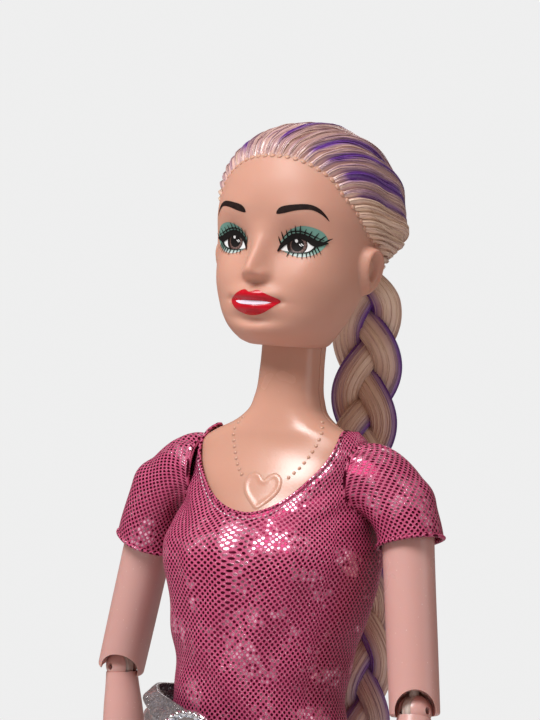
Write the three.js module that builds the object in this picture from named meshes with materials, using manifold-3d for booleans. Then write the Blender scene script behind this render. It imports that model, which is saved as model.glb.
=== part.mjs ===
// A jointed fashion doll with rooted hair, a knitted shirt, a sash, trousers and shoes.
// Millimetres, +Z up, the doll faces -Y and its left side is +X.
// Heights are measured up from the soles; the whole doll is then lowered so that
// the origin lies in the middle of the waist, where a stand or a hand holds it.
import * as THREE from 'three';
import { mergeVertices } from 'three/addons/utils/BufferGeometryUtils.js';
import Module from 'manifold-3d';

const wasm = await Module();
wasm.setup();

// Driving heights: the trunk is measured up from the hips, and the head down from the neck's top
const hip_height = 153;
const knee_height = 82;
const waist_rise = 32;
const shoulder_rise = 68;
const neck_top_rise = 99.5;
const chin_drop = 2;
const head_height = 41.7;
const waist_height = hip_height + waist_rise;
const shoulder_height = hip_height + shoulder_rise;
const neck_top_height = hip_height + neck_top_rise;
const chin_height = neck_top_height - chin_drop;

// Body
const hip_spacing = 10.5;
const shoulder_spacing = 27;
const torso_half_width = 18.6;
const torso_depth = 18;
const shell_gap = 0.3;
const running_gap = 0.3;
const soft_gap = 0.4;
const cloth_thickness = 0.7;
const cut_overrun = 20;
const rim_overrun = 2;
const press_gap = 0.05;

// Neck and head
const neck_post_radius = 2.2;
const neck_post_length = 21;
const neck_ball_radius = 4.2;
const neck_ball_rise = 4.5;
const neck_ball_height = neck_top_height + neck_ball_rise;
const neck_post_bottom_height = neck_ball_height - neck_post_length;
const neck_opening_radius = 7.8;
const neck_opening_depth = 4.4;
const head_half_width = 15.6;
const head_front = 16.6;
const head_back = 19;
const head_wall = 2.6;

// Arms
const shoulder_ball_radius = 3.5;
const shoulder_peg_radius = 2.2;
const shoulder_peg_length = 14;
const upper_arm_top_radius = 5.2;
const upper_arm_radius = 4.75;
const upper_arm_length = 39;
const elbow_rim_rise = 2.2;
const elbow_notch_radius = 3.8;
const elbow_recess_radius = 3.7;
const knuckle_radius = 3.2;
const elbow_disc_radius = 2.9;
const elbow_disc_thickness = 2;
const elbow_stem_radius = 1.1;
const elbow_stem_length = 9;
const elbow_pin_radius = 0.7;
const forearm_radius = 4.3;
const forearm_length = 41;
const wrist_peg_radius = 1.2;
const wrist_peg_length = 5;
const hand_length = 17;
const hand_half_width = 3.4;
const hand_half_thickness = 1.7;
const finger_radius = 0.85;

// Legs
const hip_axle_radius = 1.6;
const hip_ball_radius = 4.8;
const thigh_top_radius = 8.2;
const thigh_radius = 8.6;
const knee_radius = 5.6;
const knee_disc_radius = 4.6;
const knee_disc_thickness = 3;
const knee_pin_radius = 1;
const shin_radius = 5.8;
const ankle_radius = 3.4;
const ankle_height = 22;
const shoe_length = 25;
const shoe_half_width = 4.4;
const heel_height = 9;
const sole_thickness = 1.4;

// Clothes
const shirt_half_width = 19.3;
const shirt_depth = 20;
const armhole_radius = 6.4;
const sleeve_radius = 6.9;
const sleeve_length = 8.5;
const sleeve_cap_rise = 3.5;
const armhole_height = shoulder_height + sleeve_cap_rise;
const seat_top_rise = 17;
const trouser_wall = 0.8;
const trouser_hem_height = 27;
const sash_height = 11;
const sash_half_width = 23.4;
const sash_depth = 19.8;
const sash_rise = 18.5;
const sash_right_tilt = 0.25;
const sash_left_tilt = 0.1;
const brooch_radius = 7;
const brooch_depth = 1.6;
const bead_radius = 0.72;

// Hair
const hair_half_width = 17.4;
const hair_front = 17.8;
const hair_back = 27.4;
const hair_height = 44.2;
const hairline_height = 24.3;
const hairline_slope = 46;
const plait_half_width = 6;
const plait_half_depth = 4.6;
const plait_rise = 17.5;
const plait_length = 115;
const band_wall = 0.9;

// Rest pose of the head: how far it looks down, leans to its left and turns, in degrees
const head_pose = { nod: 6.5, tilt: 2, turn: -5 };

// Rest pose of each side: how far the arm is raised and swung, where the elbow notch faces,
// how far the elbow disc is turned in the arm, and how far the elbow is bent, in degrees
const rest_pose = {
  left: { sign: 1, raise: 9.5, swing: -4, notch: 25, turn: -40, bend: 12 },
  right: { sign: -1, raise: 15, swing: 12, notch: 22, turn: 49, bend: 22 },
};

// Mesh resolution
const fine_sides = 20;
const limb_sides = 12;
const small_sides = 10;
const pin_sides = 8;
const finger_sides = 6;
const bead_sides = 5;
const dome_steps = 4;
const dome_start = 6;

const across = new THREE.Vector3(1, 0, 0);
const degree = Math.PI / 180;

// A ring of points round the point (x, y, z). The front and back halves have their own depths,
// and the power sets how square the ring is, with 2 for an ellipse.
function ring(z, half_width, front, back, sides, power = 2, x = 0, y = 0) {
  const points = [];
  for (let step = 0; step < sides; step += 1) {
    const angle = (2 * Math.PI * step) / sides;
    const side = Math.sin(angle);
    const ahead = Math.cos(angle);
    const reach = ahead > 0 ? front : back;
    const px = half_width * Math.sign(side) * Math.abs(side) ** (2 / power);
    const py = -reach * Math.sign(ahead) * Math.abs(ahead) ** (2 / power);
    points.push(new THREE.Vector3(x + px, y + py, z));
  }
  return points;
}

// A geometry that turns its faces outward, whichever way its rings ran
function outward(geometry) {
  const place = geometry.attributes.position;
  const index = geometry.index;
  const a = new THREE.Vector3();
  const b = new THREE.Vector3();
  const c = new THREE.Vector3();
  let volume = 0;
  for (let face = 0; face < index.count; face += 3) {
    a.fromBufferAttribute(place, index.getX(face));
    b.fromBufferAttribute(place, index.getX(face + 1));
    c.fromBufferAttribute(place, index.getX(face + 2));
    volume += a.dot(b.cross(c));
  }
  if (volume < 0) {
    const turned = Array.from(index.array);
    for (let face = 0; face < turned.length; face += 3) {
      const kept = turned[face];
      turned[face] = turned[face + 1];
      turned[face + 1] = kept;
    }
    geometry.setIndex(turned);
  }
  return geometry;
}

// A closed skin through rings of equal counts, with a flat or pointed end on both sides
function loft(rings) {
  const sides = rings[0].length;
  const positions = [];
  const index = [];
  for (const points of rings) {
    for (const point of points) {
      positions.push(point.x, point.y, point.z);
    }
  }
  for (let level = 0; level + 1 < rings.length; level += 1) {
    for (let side = 0; side < sides; side += 1) {
      const next = (side + 1) % sides;
      const low = level * sides;
      const high = low + sides;
      index.push(low + side, low + next, high + next);
      index.push(low + side, high + next, high + side);
    }
  }
  const ends = [0, rings.length - 1];
  for (const end of ends) {
    const centre = new THREE.Vector3();
    for (const point of rings[end]) {
      centre.addScaledVector(point, 1 / sides);
    }
    const middle = positions.length / 3;
    positions.push(centre.x, centre.y, centre.z);
    for (let side = 0; side < sides; side += 1) {
      const next = (side + 1) % sides;
      const start = end * sides;
      if (end === 0) {
        index.push(start + next, start + side, middle);
      } else {
        index.push(start + side, start + next, middle);
      }
    }
  }
  const geometry = new THREE.BufferGeometry();
  geometry.setAttribute('position', new THREE.Float32BufferAttribute(positions, 3));
  geometry.setIndex(index);
  return outward(geometry);
}

// The rings with one more beyond each end, so that a cut runs clean through both rims
function through(rings) {
  const last = rings[rings.length - 1];
  const below = rings[0].map((place) => place.clone().setZ(place.z - rim_overrun));
  const above = last.map((place) => place.clone().setZ(place.z + rim_overrun));
  return [below, ...rings, above];
}

// A tube of cloth between its outer and its inner rings, which rise in Z
function cloth_tube(outer, inner) {
  return solid(loft(outer)).subtract(solid(loft(through(inner))));
}

// A solid for cutting and joining, made from any closed geometry
function solid(geometry) {
  const bare = geometry.clone();
  bare.deleteAttribute('normal');
  bare.deleteAttribute('uv');
  const welded = mergeVertices(bare);
  return new wasm.Manifold(new wasm.Mesh({
    numProp: 3,
    vertProperties: Float32Array.from(welded.attributes.position.array),
    triVerts: Uint32Array.from(welded.index.array),
  }));
}

// The geometry of a solid that has been cut or joined
function skin(body) {
  const mesh = body.getMesh();
  const geometry = new THREE.BufferGeometry();
  geometry.setAttribute('position', new THREE.Float32BufferAttribute(mesh.vertProperties, 3));
  geometry.setIndex(Array.from(mesh.triVerts));
  geometry.computeVertexNormals();
  return geometry;
}

// A ball, a rod between two points, and a box with its middle at a point
function ball(radius, x, y, z, sides = limb_sides) {
  const geometry = new THREE.SphereGeometry(radius, sides, Math.round(sides / 2));
  geometry.rotateX(Math.PI / 2);
  return solid(geometry.translate(x, y, z));
}

function rod(radius, from, to, sides = small_sides, far_radius = radius) {
  const along = new THREE.Vector3().subVectors(to, from);
  const geometry = new THREE.CylinderGeometry(far_radius, radius, along.length(), sides);
  const turn = new THREE.Quaternion().setFromUnitVectors(
    new THREE.Vector3(0, 1, 0),
    along.clone().normalize(),
  );
  geometry.applyQuaternion(turn);
  const middle = new THREE.Vector3().addVectors(from, to).multiplyScalar(0.5);
  return solid(geometry.translate(middle.x, middle.y, middle.z));
}

function block(width, depth, height, x, y, z) {
  return solid(new THREE.BoxGeometry(width, depth, height).translate(x, y, z));
}

function point(x, y, z) {
  return new THREE.Vector3(x, y, z);
}

// The parts, collected in one group
const doll = new THREE.Group();
doll.position.z = -waist_height;

function material(colour, roughness, metalness = 0) {
  return new THREE.MeshStandardMaterial({ color: colour, roughness, metalness });
}

const vinyl = material('#e0ac90', 0.55);
const shell_plastic = material('#dca48c', 0.35);
const limb_plastic = material('#d4a096', 0.4);
const link_plastic = material('#d9cfc8', 0.35);
const steel = material('#b8b8bc', 0.3, 1);
const blonde = material('#e3cbb8', 0.3);
const knit = material('#af4169', 0.35, 0.3);
const glitter = material('#a9a4a8', 0.4, 0.4);
const tape = material('#c0607f', 0.8);
const silver = material('#c9cace', 0.15, 1);
const stone = material('#cfd6dc', 0.1);
const elastic = material('#3c3440', 0.7);
const shoe_plastic = material('#c9c5cb', 0.25);

function add(parent, name, geometry, finish) {
  const mesh = new THREE.Mesh(geometry, finish);
  mesh.name = name;
  parent.add(mesh);
  return mesh;
}

// The outside of a trouser leg's rounded top, which the pelvis and the seat leave room for
const leg_dome_radius = thigh_top_radius + soft_gap + trouser_wall;
const leg_dome_gap = 0.6;

// Torso: rings from the pelvis to the neck, as shares of the way from the hips to the neck's top,
// the half width and the depth to the front and to the back
const torso_shares = [
  [0.0357, 0.62, 0.44, 0.42],
  [0.0712, 0.8, 0.56, 0.56],
  [0.1118, 0.92, 0.619, 0.641],
  [0.1676, 0.92, 0.606, 0.664],
  [0.2387, 0.84, 0.549, 0.611],
  [0.3224, 0.74, 0.521, 0.499],
  [0.396, 0.76, 0.561, 0.499],
  [0.4722, 0.84, 0.661, 0.539],
  [0.5178, 0.91, 0.781, 0.569],
  [0.5635, 0.95, 0.831, 0.599],
  [0.6092, 0.97, 0.761, 0.629],
  [0.6625, 0.98, 0.621, 0.649],
  [0.7183, 1, 0.518, 0.642],
  [0.7538, 1, 0.441, 0.599],
  [0.7839, 0.97, 0.394, 0.526],
  [0.805, 0.8, 0.382, 0.468],
  [0.8221, 0.6, 0.374, 0.431],
  [0.8442, 0.44, 0.36, 0.4],
  [0.8764, 0.36, 0.348, 0.37],
  [0.9289, 0.33, 0.34, 0.34],
  [1, 0.328, 0.338, 0.338],
];
const hollow_start_share = 0.1372;
const hollow_end_share = 0.8224;
const torso_power = 2.3;
const torso_wall = 1.6;

// The tongue between the thighs that holds the hip axle
const crotch_half_width = 2;
const crotch_half_depth = 4;
const crotch_rise = 11.5;

// The height of a share of the way from the hips to the neck's top
function trunk_height(height_share) {
  return hip_height + neck_top_rise * height_share;
}

function torso_rings(shrink, from_share, to_share) {
  const rings = [];
  for (const [height_share, side_share, front_share, back_share] of torso_shares) {
    if (height_share >= from_share && height_share <= to_share) {
      rings.push(ring(
        trunk_height(height_share),
        torso_half_width * side_share - shrink,
        torso_depth * front_share - shrink,
        torso_depth * back_share - shrink,
        fine_sides,
        torso_power,
      ));
    }
  }
  return rings;
}

// The sloping cut under the pelvis, which leaves room for legs that swing forward
const pelvis_front_rise = 11;
const pelvis_back_rise = 1.5;

function pelvis_cutter() {
  const slope = Math.atan2(pelvis_front_rise - pelvis_back_rise, 2 * thigh_radius);
  const height = (pelvis_front_rise + pelvis_back_rise) / 2;
  const size = 4 * cut_overrun;
  const geometry = new THREE.BoxGeometry(size, size, size);
  geometry.translate(0, 0, -size / 2);
  geometry.rotateX(-slope);
  return solid(geometry.translate(0, 0, hip_height + height));
}

// The moulded beads of the necklace lie in the front shell: two strings and a heart
const necklace_bead_radius = 0.7;
const necklace_bead_count = 11;
const necklace_top_share = 0.8362;
const necklace_bottom_share = 0.7158;
const necklace_spread_share = 0.49;
const heart_half_width = 3.4;
const heart_half_height = 3.6;
const heart_relief = 0.7;
const heart_drop_share = 0.038;
const heart_lean = 22;

function torso_front_depth(height_share, x_share) {
  let low = torso_shares[0];
  for (const row of torso_shares) {
    if (row[0] > height_share) {
      const mix = (height_share - low[0]) / (row[0] - low[0]);
      const side = torso_half_width * (low[1] + (row[1] - low[1]) * mix);
      const front = torso_depth * (low[2] + (row[2] - low[2]) * mix);
      const across_share = Math.min(1, Math.abs(x_share * torso_half_width) / side);
      return front * (1 - across_share ** torso_power) ** (1 / torso_power);
    }
    low = row;
  }
  return 0;
}

function necklace() {
  const beads = [];
  for (const side of [-1, 1]) {
    for (let step = 0; step < necklace_bead_count; step += 1) {
      const run = step / necklace_bead_count;
      const height_share = necklace_top_share
        + (necklace_bottom_share - necklace_top_share) * run ** 0.9;
      const x_share = side * necklace_spread_share * (1 - run) ** 0.75;
      const depth = torso_front_depth(height_share, x_share);
      beads.push(ball(
        necklace_bead_radius,
        x_share * torso_half_width,
        -depth,
        trunk_height(height_share),
        bead_sides,
      ));
    }
  }
  return beads;
}

// A raised heart, drawn as four curves in shares of its own half width and half height
const heart_shares = [
  [-0.5, -0.55, -1, 0, -1, 0.45],
  [-1, 1, -0.3, 1.1, 0, 0.55],
  [0.3, 1.1, 1, 1, 1, 0.45],
  [1, 0, 0.5, -0.55, 0, -1],
];

function heart_outline(half_width, half_height) {
  const shape = new THREE.Shape();
  shape.moveTo(0, -half_height);
  for (const [x1_share, z1_share, x2_share, z2_share, x3_share, z3_share] of heart_shares) {
    shape.bezierCurveTo(
      half_width * x1_share,
      half_height * z1_share,
      half_width * x2_share,
      half_height * z2_share,
      half_width * x3_share,
      half_height * z3_share,
    );
  }
  return shape;
}

function heart() {
  const height_share = necklace_bottom_share - heart_drop_share;
  const depth = torso_front_depth(height_share, 0);
  const geometry = new THREE.ExtrudeGeometry(heart_outline(heart_half_width, heart_half_height), {
    depth: 4 * heart_relief,
    bevelEnabled: false,
    curveSegments: 5,
  });
  geometry.rotateX(Math.PI / 2 + heart_lean * degree);
  return solid(geometry.translate(0, -depth + 3 * heart_relief, trunk_height(height_share)));
}

function torso_halves() {
  let body = solid(loft(torso_rings(0, 0, 1)));
  body = body.subtract(solid(loft(torso_rings(torso_wall, hollow_start_share, hollow_end_share))));
  body = body.subtract(pelvis_cutter());
  for (const side of [-1, 1]) {
    const hip = point(side * hip_spacing, 0, hip_height);
    body = body.subtract(ball(leg_dome_radius + leg_dome_gap, hip.x, hip.y, hip.z, limb_sides));
    body = body.subtract(ball(
      upper_arm_top_radius + cloth_thickness + 2 * running_gap,
      side * shoulder_spacing,
      0,
      shoulder_height,
      limb_sides,
    ));
    const peg_end = side * (shoulder_spacing - shoulder_peg_length - running_gap);
    body = body.subtract(rod(
      shoulder_peg_radius + running_gap,
      point(peg_end, 0, shoulder_height),
      point(side * shoulder_spacing, 0, shoulder_height),
    ));
  }
  body = body.add(block(
    2 * crotch_half_width,
    2 * crotch_half_depth,
    crotch_rise + crotch_half_depth,
    0,
    0,
    hip_height + (crotch_rise - crotch_half_depth) / 2,
  ));
  body = body.subtract(rod(
    hip_axle_radius,
    point(-cut_overrun, 0, hip_height),
    point(cut_overrun, 0, hip_height),
  ));
  body = body.subtract(rod(
    neck_post_radius + running_gap,
    point(0, 0, neck_post_bottom_height - running_gap),
    point(0, 0, neck_top_height + cut_overrun),
  ));
  const half = 6 * cut_overrun;
  const front_room = block(half, half, 5 * half, 0, -half / 2 - shell_gap / 2, waist_height);
  const back_room = block(half, half, 5 * half, 0, half / 2 + shell_gap / 2, waist_height);
  let front = body.intersect(front_room);
  for (const bead of necklace()) {
    front = front.add(bead);
  }
  front = front.add(heart());
  return [front, body.intersect(back_room)];
}

const [front_half, back_half] = torso_halves();
add(doll, 'torso_front', skin(front_half), shell_plastic);
add(doll, 'torso_back', skin(back_half), shell_plastic);

// Hip axle across the pelvis, and a ball on each end that a leg spreads on
const axle_reach = hip_spacing + hip_ball_radius * 0.8;
add(doll, 'hip_axle', skin(rod(
  hip_axle_radius - press_gap,
  point(-axle_reach, 0, hip_height),
  point(axle_reach, 0, hip_height),
)), steel);

// Neck post: a stem that turns in the neck, with a ball on top that the head nods on
const neck_post = rod(
  neck_post_radius,
  point(0, 0, neck_post_bottom_height),
  point(0, 0, neck_ball_height),
).add(ball(neck_ball_radius, 0, 0, neck_ball_height));
add(doll, 'neck_post', skin(neck_post), link_plastic);

// Head: rings from the jaw to the crown, as shares of the head's height, half width,
// front and back, with the squareness of each ring
const head_shares = [
  [0, 0.42, 0.6, 0.36, 2],
  [0.012, 0.5, 0.72, 0.38, 2.1],
  [0.04, 0.58, 0.82, 0.4, 2.2],
  [0.08, 0.67, 0.875, 0.43, 2.3],
  [0.13, 0.77, 0.905, 0.48, 2.4],
  [0.19, 0.855, 0.92, 0.56, 2.4],
  [0.26, 0.92, 0.95, 0.66, 2.3],
  [0.34, 0.965, 0.965, 0.78, 2.2],
  [0.42, 0.99, 0.975, 0.88, 2.1],
  [0.5, 1, 0.985, 0.95, 2],
  [0.58, 1, 1, 0.985, 2],
  [0.66, 0.985, 0.995, 1, 2],
  [0.74, 0.945, 0.955, 0.99, 2],
  [0.82, 0.86, 0.86, 0.94, 2],
  [0.89, 0.73, 0.71, 0.83, 2],
  [0.945, 0.55, 0.52, 0.65, 2],
  [0.98, 0.34, 0.32, 0.42, 2],
  [0.997, 0.1, 0.1, 0.12, 2],
];

function head_rings(grow, shares, half_width, front, back, height) {
  const rings = [];
  for (const [height_share, side_share, front_share, back_share, power] of shares) {
    rings.push(ring(
      chin_height + height * height_share + grow * (height_share - 0.5),
      half_width * side_share + grow,
      front * front_share + grow,
      back * back_share + grow,
      fine_sides,
      power,
    ));
  }
  return rings;
}

// Moulded features: the nose is a wedge with a ball at its tip, each ear is a flattened ball,
// and the lips are two short rolls
const nose_height_share = 0.37;
const nose_top_share = 0.56;
const nose_tip_radius = 1.9;
const nose_reach = 0.9;
const ear_height_share = 0.4;
const ear_half_height = 4.3;
const ear_half_depth = 2.7;
const ear_half_thickness = 1.5;
const ear_back = 3;
const ear_lean = -12;
const lip_height_share = 0.2;
const lip_half_width = 4;
const lip_radius = 1.5;

function head_solid() {
  const skull = head_rings(0, head_shares, head_half_width, head_front, head_back, head_height);
  let head = solid(loft(skull));
  const nose_y = -head_front - nose_reach + nose_tip_radius;
  const nose_tip = point(0, nose_y, chin_height + head_height * nose_height_share);
  const nose_root = point(0, -head_front + nose_tip_radius, chin_height + head_height * nose_top_share);
  head = head.add(rod(nose_tip_radius, nose_tip, nose_root, small_sides, nose_tip_radius * 0.5));
  head = head.add(ball(nose_tip_radius, nose_tip.x, nose_tip.y, nose_tip.z, small_sides));
  const lip_y = -head_front * 0.92 + lip_radius * 0.6;
  const lip_z = chin_height + head_height * lip_height_share;
  const lips = new THREE.SphereGeometry(1, small_sides, 6);
  lips.scale(lip_half_width, lip_radius, lip_radius * 1.2);
  head = head.add(solid(lips.translate(0, lip_y, lip_z)));
  for (const side of [-1, 1]) {
    const ear = new THREE.SphereGeometry(1, small_sides, 8);
    ear.scale(ear_half_thickness, ear_half_depth, ear_half_height);
    ear.rotateX(ear_lean * degree);
    ear.translate(side * head_half_width, ear_back, chin_height + head_height * ear_height_share);
    head = head.add(solid(ear));
  }
  return head;
}

function head_hollow() {
  const hollow = new THREE.SphereGeometry(1, limb_sides, small_sides);
  hollow.scale(
    head_half_width - head_wall,
    head_back - 2 * head_wall,
    head_height * 0.28,
  );
  return solid(hollow.translate(0, 0, chin_height + head_height * 0.56));
}

function neck_opening() {
  let cuts = rod(
    neck_opening_radius,
    point(0, 0, chin_height - cut_overrun),
    point(0, 0, chin_height + neck_opening_depth),
    limb_sides,
  );
  cuts = cuts.add(ball(neck_ball_radius + running_gap, 0, 0, neck_ball_height));
  cuts = cuts.add(rod(
    neck_post_radius + 4 * running_gap,
    point(0, 0, chin_height),
    point(0, 0, chin_height + head_height * 0.5),
  ));
  return cuts;
}

// The head as it is held, turned about the neck ball. Its hollow turns with it, and the openings
// for the neck stay upright.
function as_held(form) {
  const pose = new THREE.Matrix4()
    .makeTranslation(0, 0, neck_ball_height)
    .multiply(new THREE.Matrix4().makeRotationY(head_pose.tilt * degree))
    .multiply(new THREE.Matrix4().makeRotationX(head_pose.nod * degree))
    .multiply(new THREE.Matrix4().makeRotationZ(head_pose.turn * degree))
    .multiply(new THREE.Matrix4().makeTranslation(0, 0, -neck_ball_height));
  return form.transform(pose.elements.slice());
}

add(doll, 'head', skin(as_held(head_solid().subtract(head_hollow())).subtract(neck_opening())), vinyl);

// Hair: the swept back cap with its puff, cut along the hairline and hollowed by the head
const hair_shares = [
  [0.2, 0.5, 0.3, 0.6, 2],
  [0.27, 0.8, 0.5, 0.72, 2],
  [0.36, 0.93, 0.8, 0.82, 2],
  [0.46, 0.985, 0.96, 0.9, 2],
  [0.55, 1, 0.99, 0.97, 2],
  [0.64, 1, 0.99, 1, 2],
  [0.73, 0.965, 0.945, 0.95, 2],
  [0.81, 0.88, 0.83, 0.8, 2],
  [0.88, 0.735, 0.67, 0.61, 2],
  [0.94, 0.52, 0.47, 0.41, 2],
  [0.985, 0.26, 0.24, 0.2, 2],
  [1, 0.08, 0.07, 0.06, 2],
];
const hair_shell_gap = 0.35;

function hairline_cutter() {
  const size = 8 * cut_overrun;
  const geometry = new THREE.BoxGeometry(size, size, size);
  geometry.translate(0, 0, -size / 2);
  geometry.rotateX(-hairline_slope * degree);
  return solid(geometry.translate(0, 0, chin_height + hairline_height));
}

function hair_cap() {
  const outside = head_rings(0, hair_shares, hair_half_width, hair_front, hair_back, hair_height);
  const skull = head_rings(
    hair_shell_gap,
    head_shares,
    head_half_width,
    head_front,
    head_back,
    head_height,
  );
  let hair = solid(loft(outside));
  hair = hair.subtract(solid(loft(skull)));
  hair = hair.subtract(hairline_cutter());
  for (const side of [-1, 1]) {
    const ear = new THREE.SphereGeometry(1, small_sides, 8);
    ear.scale(
      ear_half_thickness + 2 * hair_shell_gap,
      ear_half_depth + 2 * hair_shell_gap,
      ear_half_height + 2 * hair_shell_gap,
    );
    ear.rotateX(ear_lean * degree);
    ear.translate(side * head_half_width, ear_back, chin_height + head_height * ear_height_share);
    hair = hair.subtract(solid(ear));
  }
  return hair;
}

// The plait: a tube down the back with a band round its end. Its line goes through shares of its
// half width sideways, of the head's back and of its own length
const plait_shares = [
  [0.333, 1.174, 0.000],
  [0.500, 1.195, 0.078],
  [0.600, 1.221, 0.157],
  [0.667, 1.189, 0.243],
  [0.750, 1.132, 0.348],
  [0.833, 1.158, 0.470],
  [0.917, 1.211, 0.609],
  [1.000, 1.263, 0.748],
  [1.050, 1.289, 0.870],
  [1.083, 1.289, 1.000],
];

const plait_steps = 22;
const plait_taper_share = 0.3;
const plait_top_height = chin_height + plait_rise;

function plait_points() {
  return plait_shares.map(([side_share, back_share, drop_share]) => point(
    plait_half_width * side_share,
    head_back * back_share,
    plait_top_height - plait_length * drop_share,
  ));
}

function plait_form(half_width, half_depth) {
  const curve = new THREE.CatmullRomCurve3(plait_points());
  const rings = [];
  for (let step = 0; step <= plait_steps; step += 1) {
    const run = step / plait_steps;
    const centre = curve.getPoint(run);
    const taper = 1 - plait_taper_share * run;
    const depth = half_depth * taper;
    rings.push(ring(centre.z, half_width * taper, depth, depth, small_sides, 2, centre.x, centre.y));
  }
  return loft(rings);
}

const plait_room = plait_form(plait_half_width + hair_shell_gap, plait_half_depth + hair_shell_gap);
const hair_body = as_held(hair_cap()).subtract(solid(plait_room.translate(0, 0, hair_shell_gap)));
add(doll, 'hair_cap', skin(hair_body), blonde);
add(doll, 'plait', plait_form(plait_half_width, plait_half_depth), blonde);

const band_rise = 5;
const band_height = 2.4;

function plait_band() {
  const end = plait_points().at(-1);
  const half_width = plait_half_width * (1 - plait_taper_share) + soft_gap;
  const half_depth = plait_half_depth * (1 - plait_taper_share) + soft_gap;
  const form = (grow, overrun) => {
    const wide = half_width + grow;
    const deep = half_depth + grow;
    const low = end.z + band_rise - overrun;
    const high = end.z + band_rise + band_height + overrun;
    return solid(loft([
      ring(low, wide, deep, deep, small_sides, 2, end.x, end.y),
      ring(high, wide, deep, deep, small_sides, 2, end.x, end.y),
    ]));
  };
  return form(band_wall, 0).subtract(form(0, rim_overrun));
}

add(doll, 'plait_band', skin(plait_band()), elastic);

// Shirt body: rings as shares of the way from the hips to the neck's top, the half width and the
// depth, with the squareness of each ring
const shirt_shares = [
  [0.1769, 0.964, 0.772, 0.663, 2.2],
  [0.2362, 0.922, 0.763, 0.612, 2.2],
  [0.2894, 0.881, 0.793, 0.557, 2.2],
  [0.3528, 0.902, 0.825, 0.54, 2.2],
  [0.4291, 0.953, 0.865, 0.57, 2.3],
  [0.4925, 1, 0.895, 0.61, 2.5],
  [0.5427, 1.031, 0.905, 0.645, 2.7],
  [0.5829, 1.036, 0.865, 0.67, 2.7],
  [0.6231, 1.016, 0.765, 0.685, 2.5],
  [0.6633, 1, 0.645, 0.685, 2.3],
  [0.7085, 1, 0.557, 0.678, 2.2],
  [0.7518, 1, 0.488, 0.637, 2.2],
  [0.7839, 1, 0.455, 0.57, 2.2],
  [0.805, 0.959, 0.435, 0.515, 2.2],
];
const armhole_depth_share = 0.9;
const neckline_half_width = 16;
const neckline_drop = 18;
const neckline_corner = 3;
const neckline_back_drop = 4;
const neckline_back_start = -1;
const neckline_top_share = 0.8603;

function shirt_rings(shrink) {
  const rings = [];
  for (const [height_share, side_share, front_share, back_share, power] of shirt_shares) {
    rings.push(ring(
      trunk_height(height_share),
      shirt_half_width * side_share - shrink,
      shirt_depth * front_share - shrink,
      shirt_depth * back_share - shrink,
      fine_sides,
      power,
    ));
  }
  return rings;
}

function neckline_cutter() {
  const shape = new THREE.Shape();
  const top = trunk_height(neckline_top_share);
  const corner = top - neckline_corner;
  const bottom = corner - neckline_drop;
  shape.moveTo(-neckline_half_width, top + cut_overrun);
  shape.lineTo(-neckline_half_width, corner);
  shape.bezierCurveTo(-neckline_half_width * 0.95, bottom, -neckline_half_width * 0.5, bottom, 0, bottom);
  shape.bezierCurveTo(
    neckline_half_width * 0.5,
    bottom,
    neckline_half_width * 0.95,
    bottom,
    neckline_half_width,
    corner,
  );
  shape.lineTo(neckline_half_width, top + cut_overrun);
  const front = new THREE.ExtrudeGeometry(shape, {
    depth: 2 * cut_overrun,
    bevelEnabled: false,
    curveSegments: 8,
  });
  front.rotateX(Math.PI / 2);
  const back = block(
    2 * neckline_half_width,
    2 * cut_overrun,
    2 * cut_overrun,
    0,
    cut_overrun + neckline_back_start,
    top - neckline_back_drop + cut_overrun,
  );
  return solid(front).add(back);
}

function shirt_body() {
  let shirt = cloth_tube(shirt_rings(0), shirt_rings(cloth_thickness));
  shirt = shirt.subtract(neckline_cutter());
  for (const side of [-1, 1]) {
    shirt = shirt.subtract(rod(
      armhole_radius,
      point(side * shirt_half_width * armhole_depth_share, 0, armhole_height),
      point(side * (shoulder_spacing + cut_overrun), 0, armhole_height),
      limb_sides,
    ));
  }
  return shirt;
}

add(doll, 'shirt_body', skin(shirt_body()), knit);

// The tape that closes the shirt at the back, below its neck edge
const tape_half_width = 2.4;
const tape_thickness = 0.6;
const tape_top_share = 0.7437;
const tape_bottom_share = 0.3317;

function shirt_tape() {
  const rings = [];
  for (const [height_share, , , back_share] of shirt_shares) {
    if (height_share >= tape_bottom_share && height_share <= tape_top_share) {
      const z = trunk_height(height_share);
      const y = shirt_depth * back_share + running_gap;
      rings.push([
        point(-tape_half_width, y, z),
        point(tape_half_width, y, z),
        point(tape_half_width, y + tape_thickness, z),
        point(-tape_half_width, y + tape_thickness, z),
      ]);
    }
  }
  return loft(rings);
}

add(doll, 'shirt_tape', shirt_tape(), tape);

// Sash: a slanting band of gathered fabric round the waist, highest at the doll's right side
const sash_wall = 0.7;
const sash_middle_height = hip_height + sash_rise;
const sash_centre_share = 0.076;
const sash_power = 2.1;
const sash_shares = [
  [0, 0.93],
  [0.2, 0.985],
  [0.5, 1],
  [0.8, 0.985],
  [1, 0.93],
];

// How far the sash climbs at a place on its way round
function sash_climb(x) {
  return x < 0 ? -sash_right_tilt * x : -sash_left_tilt * x;
}

function sash() {
  const centre = -sash_depth * sash_centre_share;
  const half_depth = sash_depth * (1 - sash_centre_share);
  const outer = [];
  const inner = [];
  for (const [height_share, width_share] of sash_shares) {
    const z = sash_middle_height + sash_height * (height_share - 0.5);
    const [half, deep] = [sash_half_width * width_share, half_depth * width_share];
    const inside = sash_half_width * sash_shares[0][1] - sash_wall;
    const inside_depth = half_depth * sash_shares[0][1] - sash_wall;
    const wide = ring(z, half, deep, deep, fine_sides, sash_power, 0, centre);
    const narrow = ring(z, inside, inside_depth, inside_depth, fine_sides, sash_power, 0, centre);
    for (const place of [...wide, ...narrow]) {
      place.z += sash_climb(place.x);
    }
    outer.push(wide);
    inner.push(narrow);
  }
  return cloth_tube(outer, inner);
}

add(doll, 'waist_sash', skin(sash()), glitter);

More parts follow.
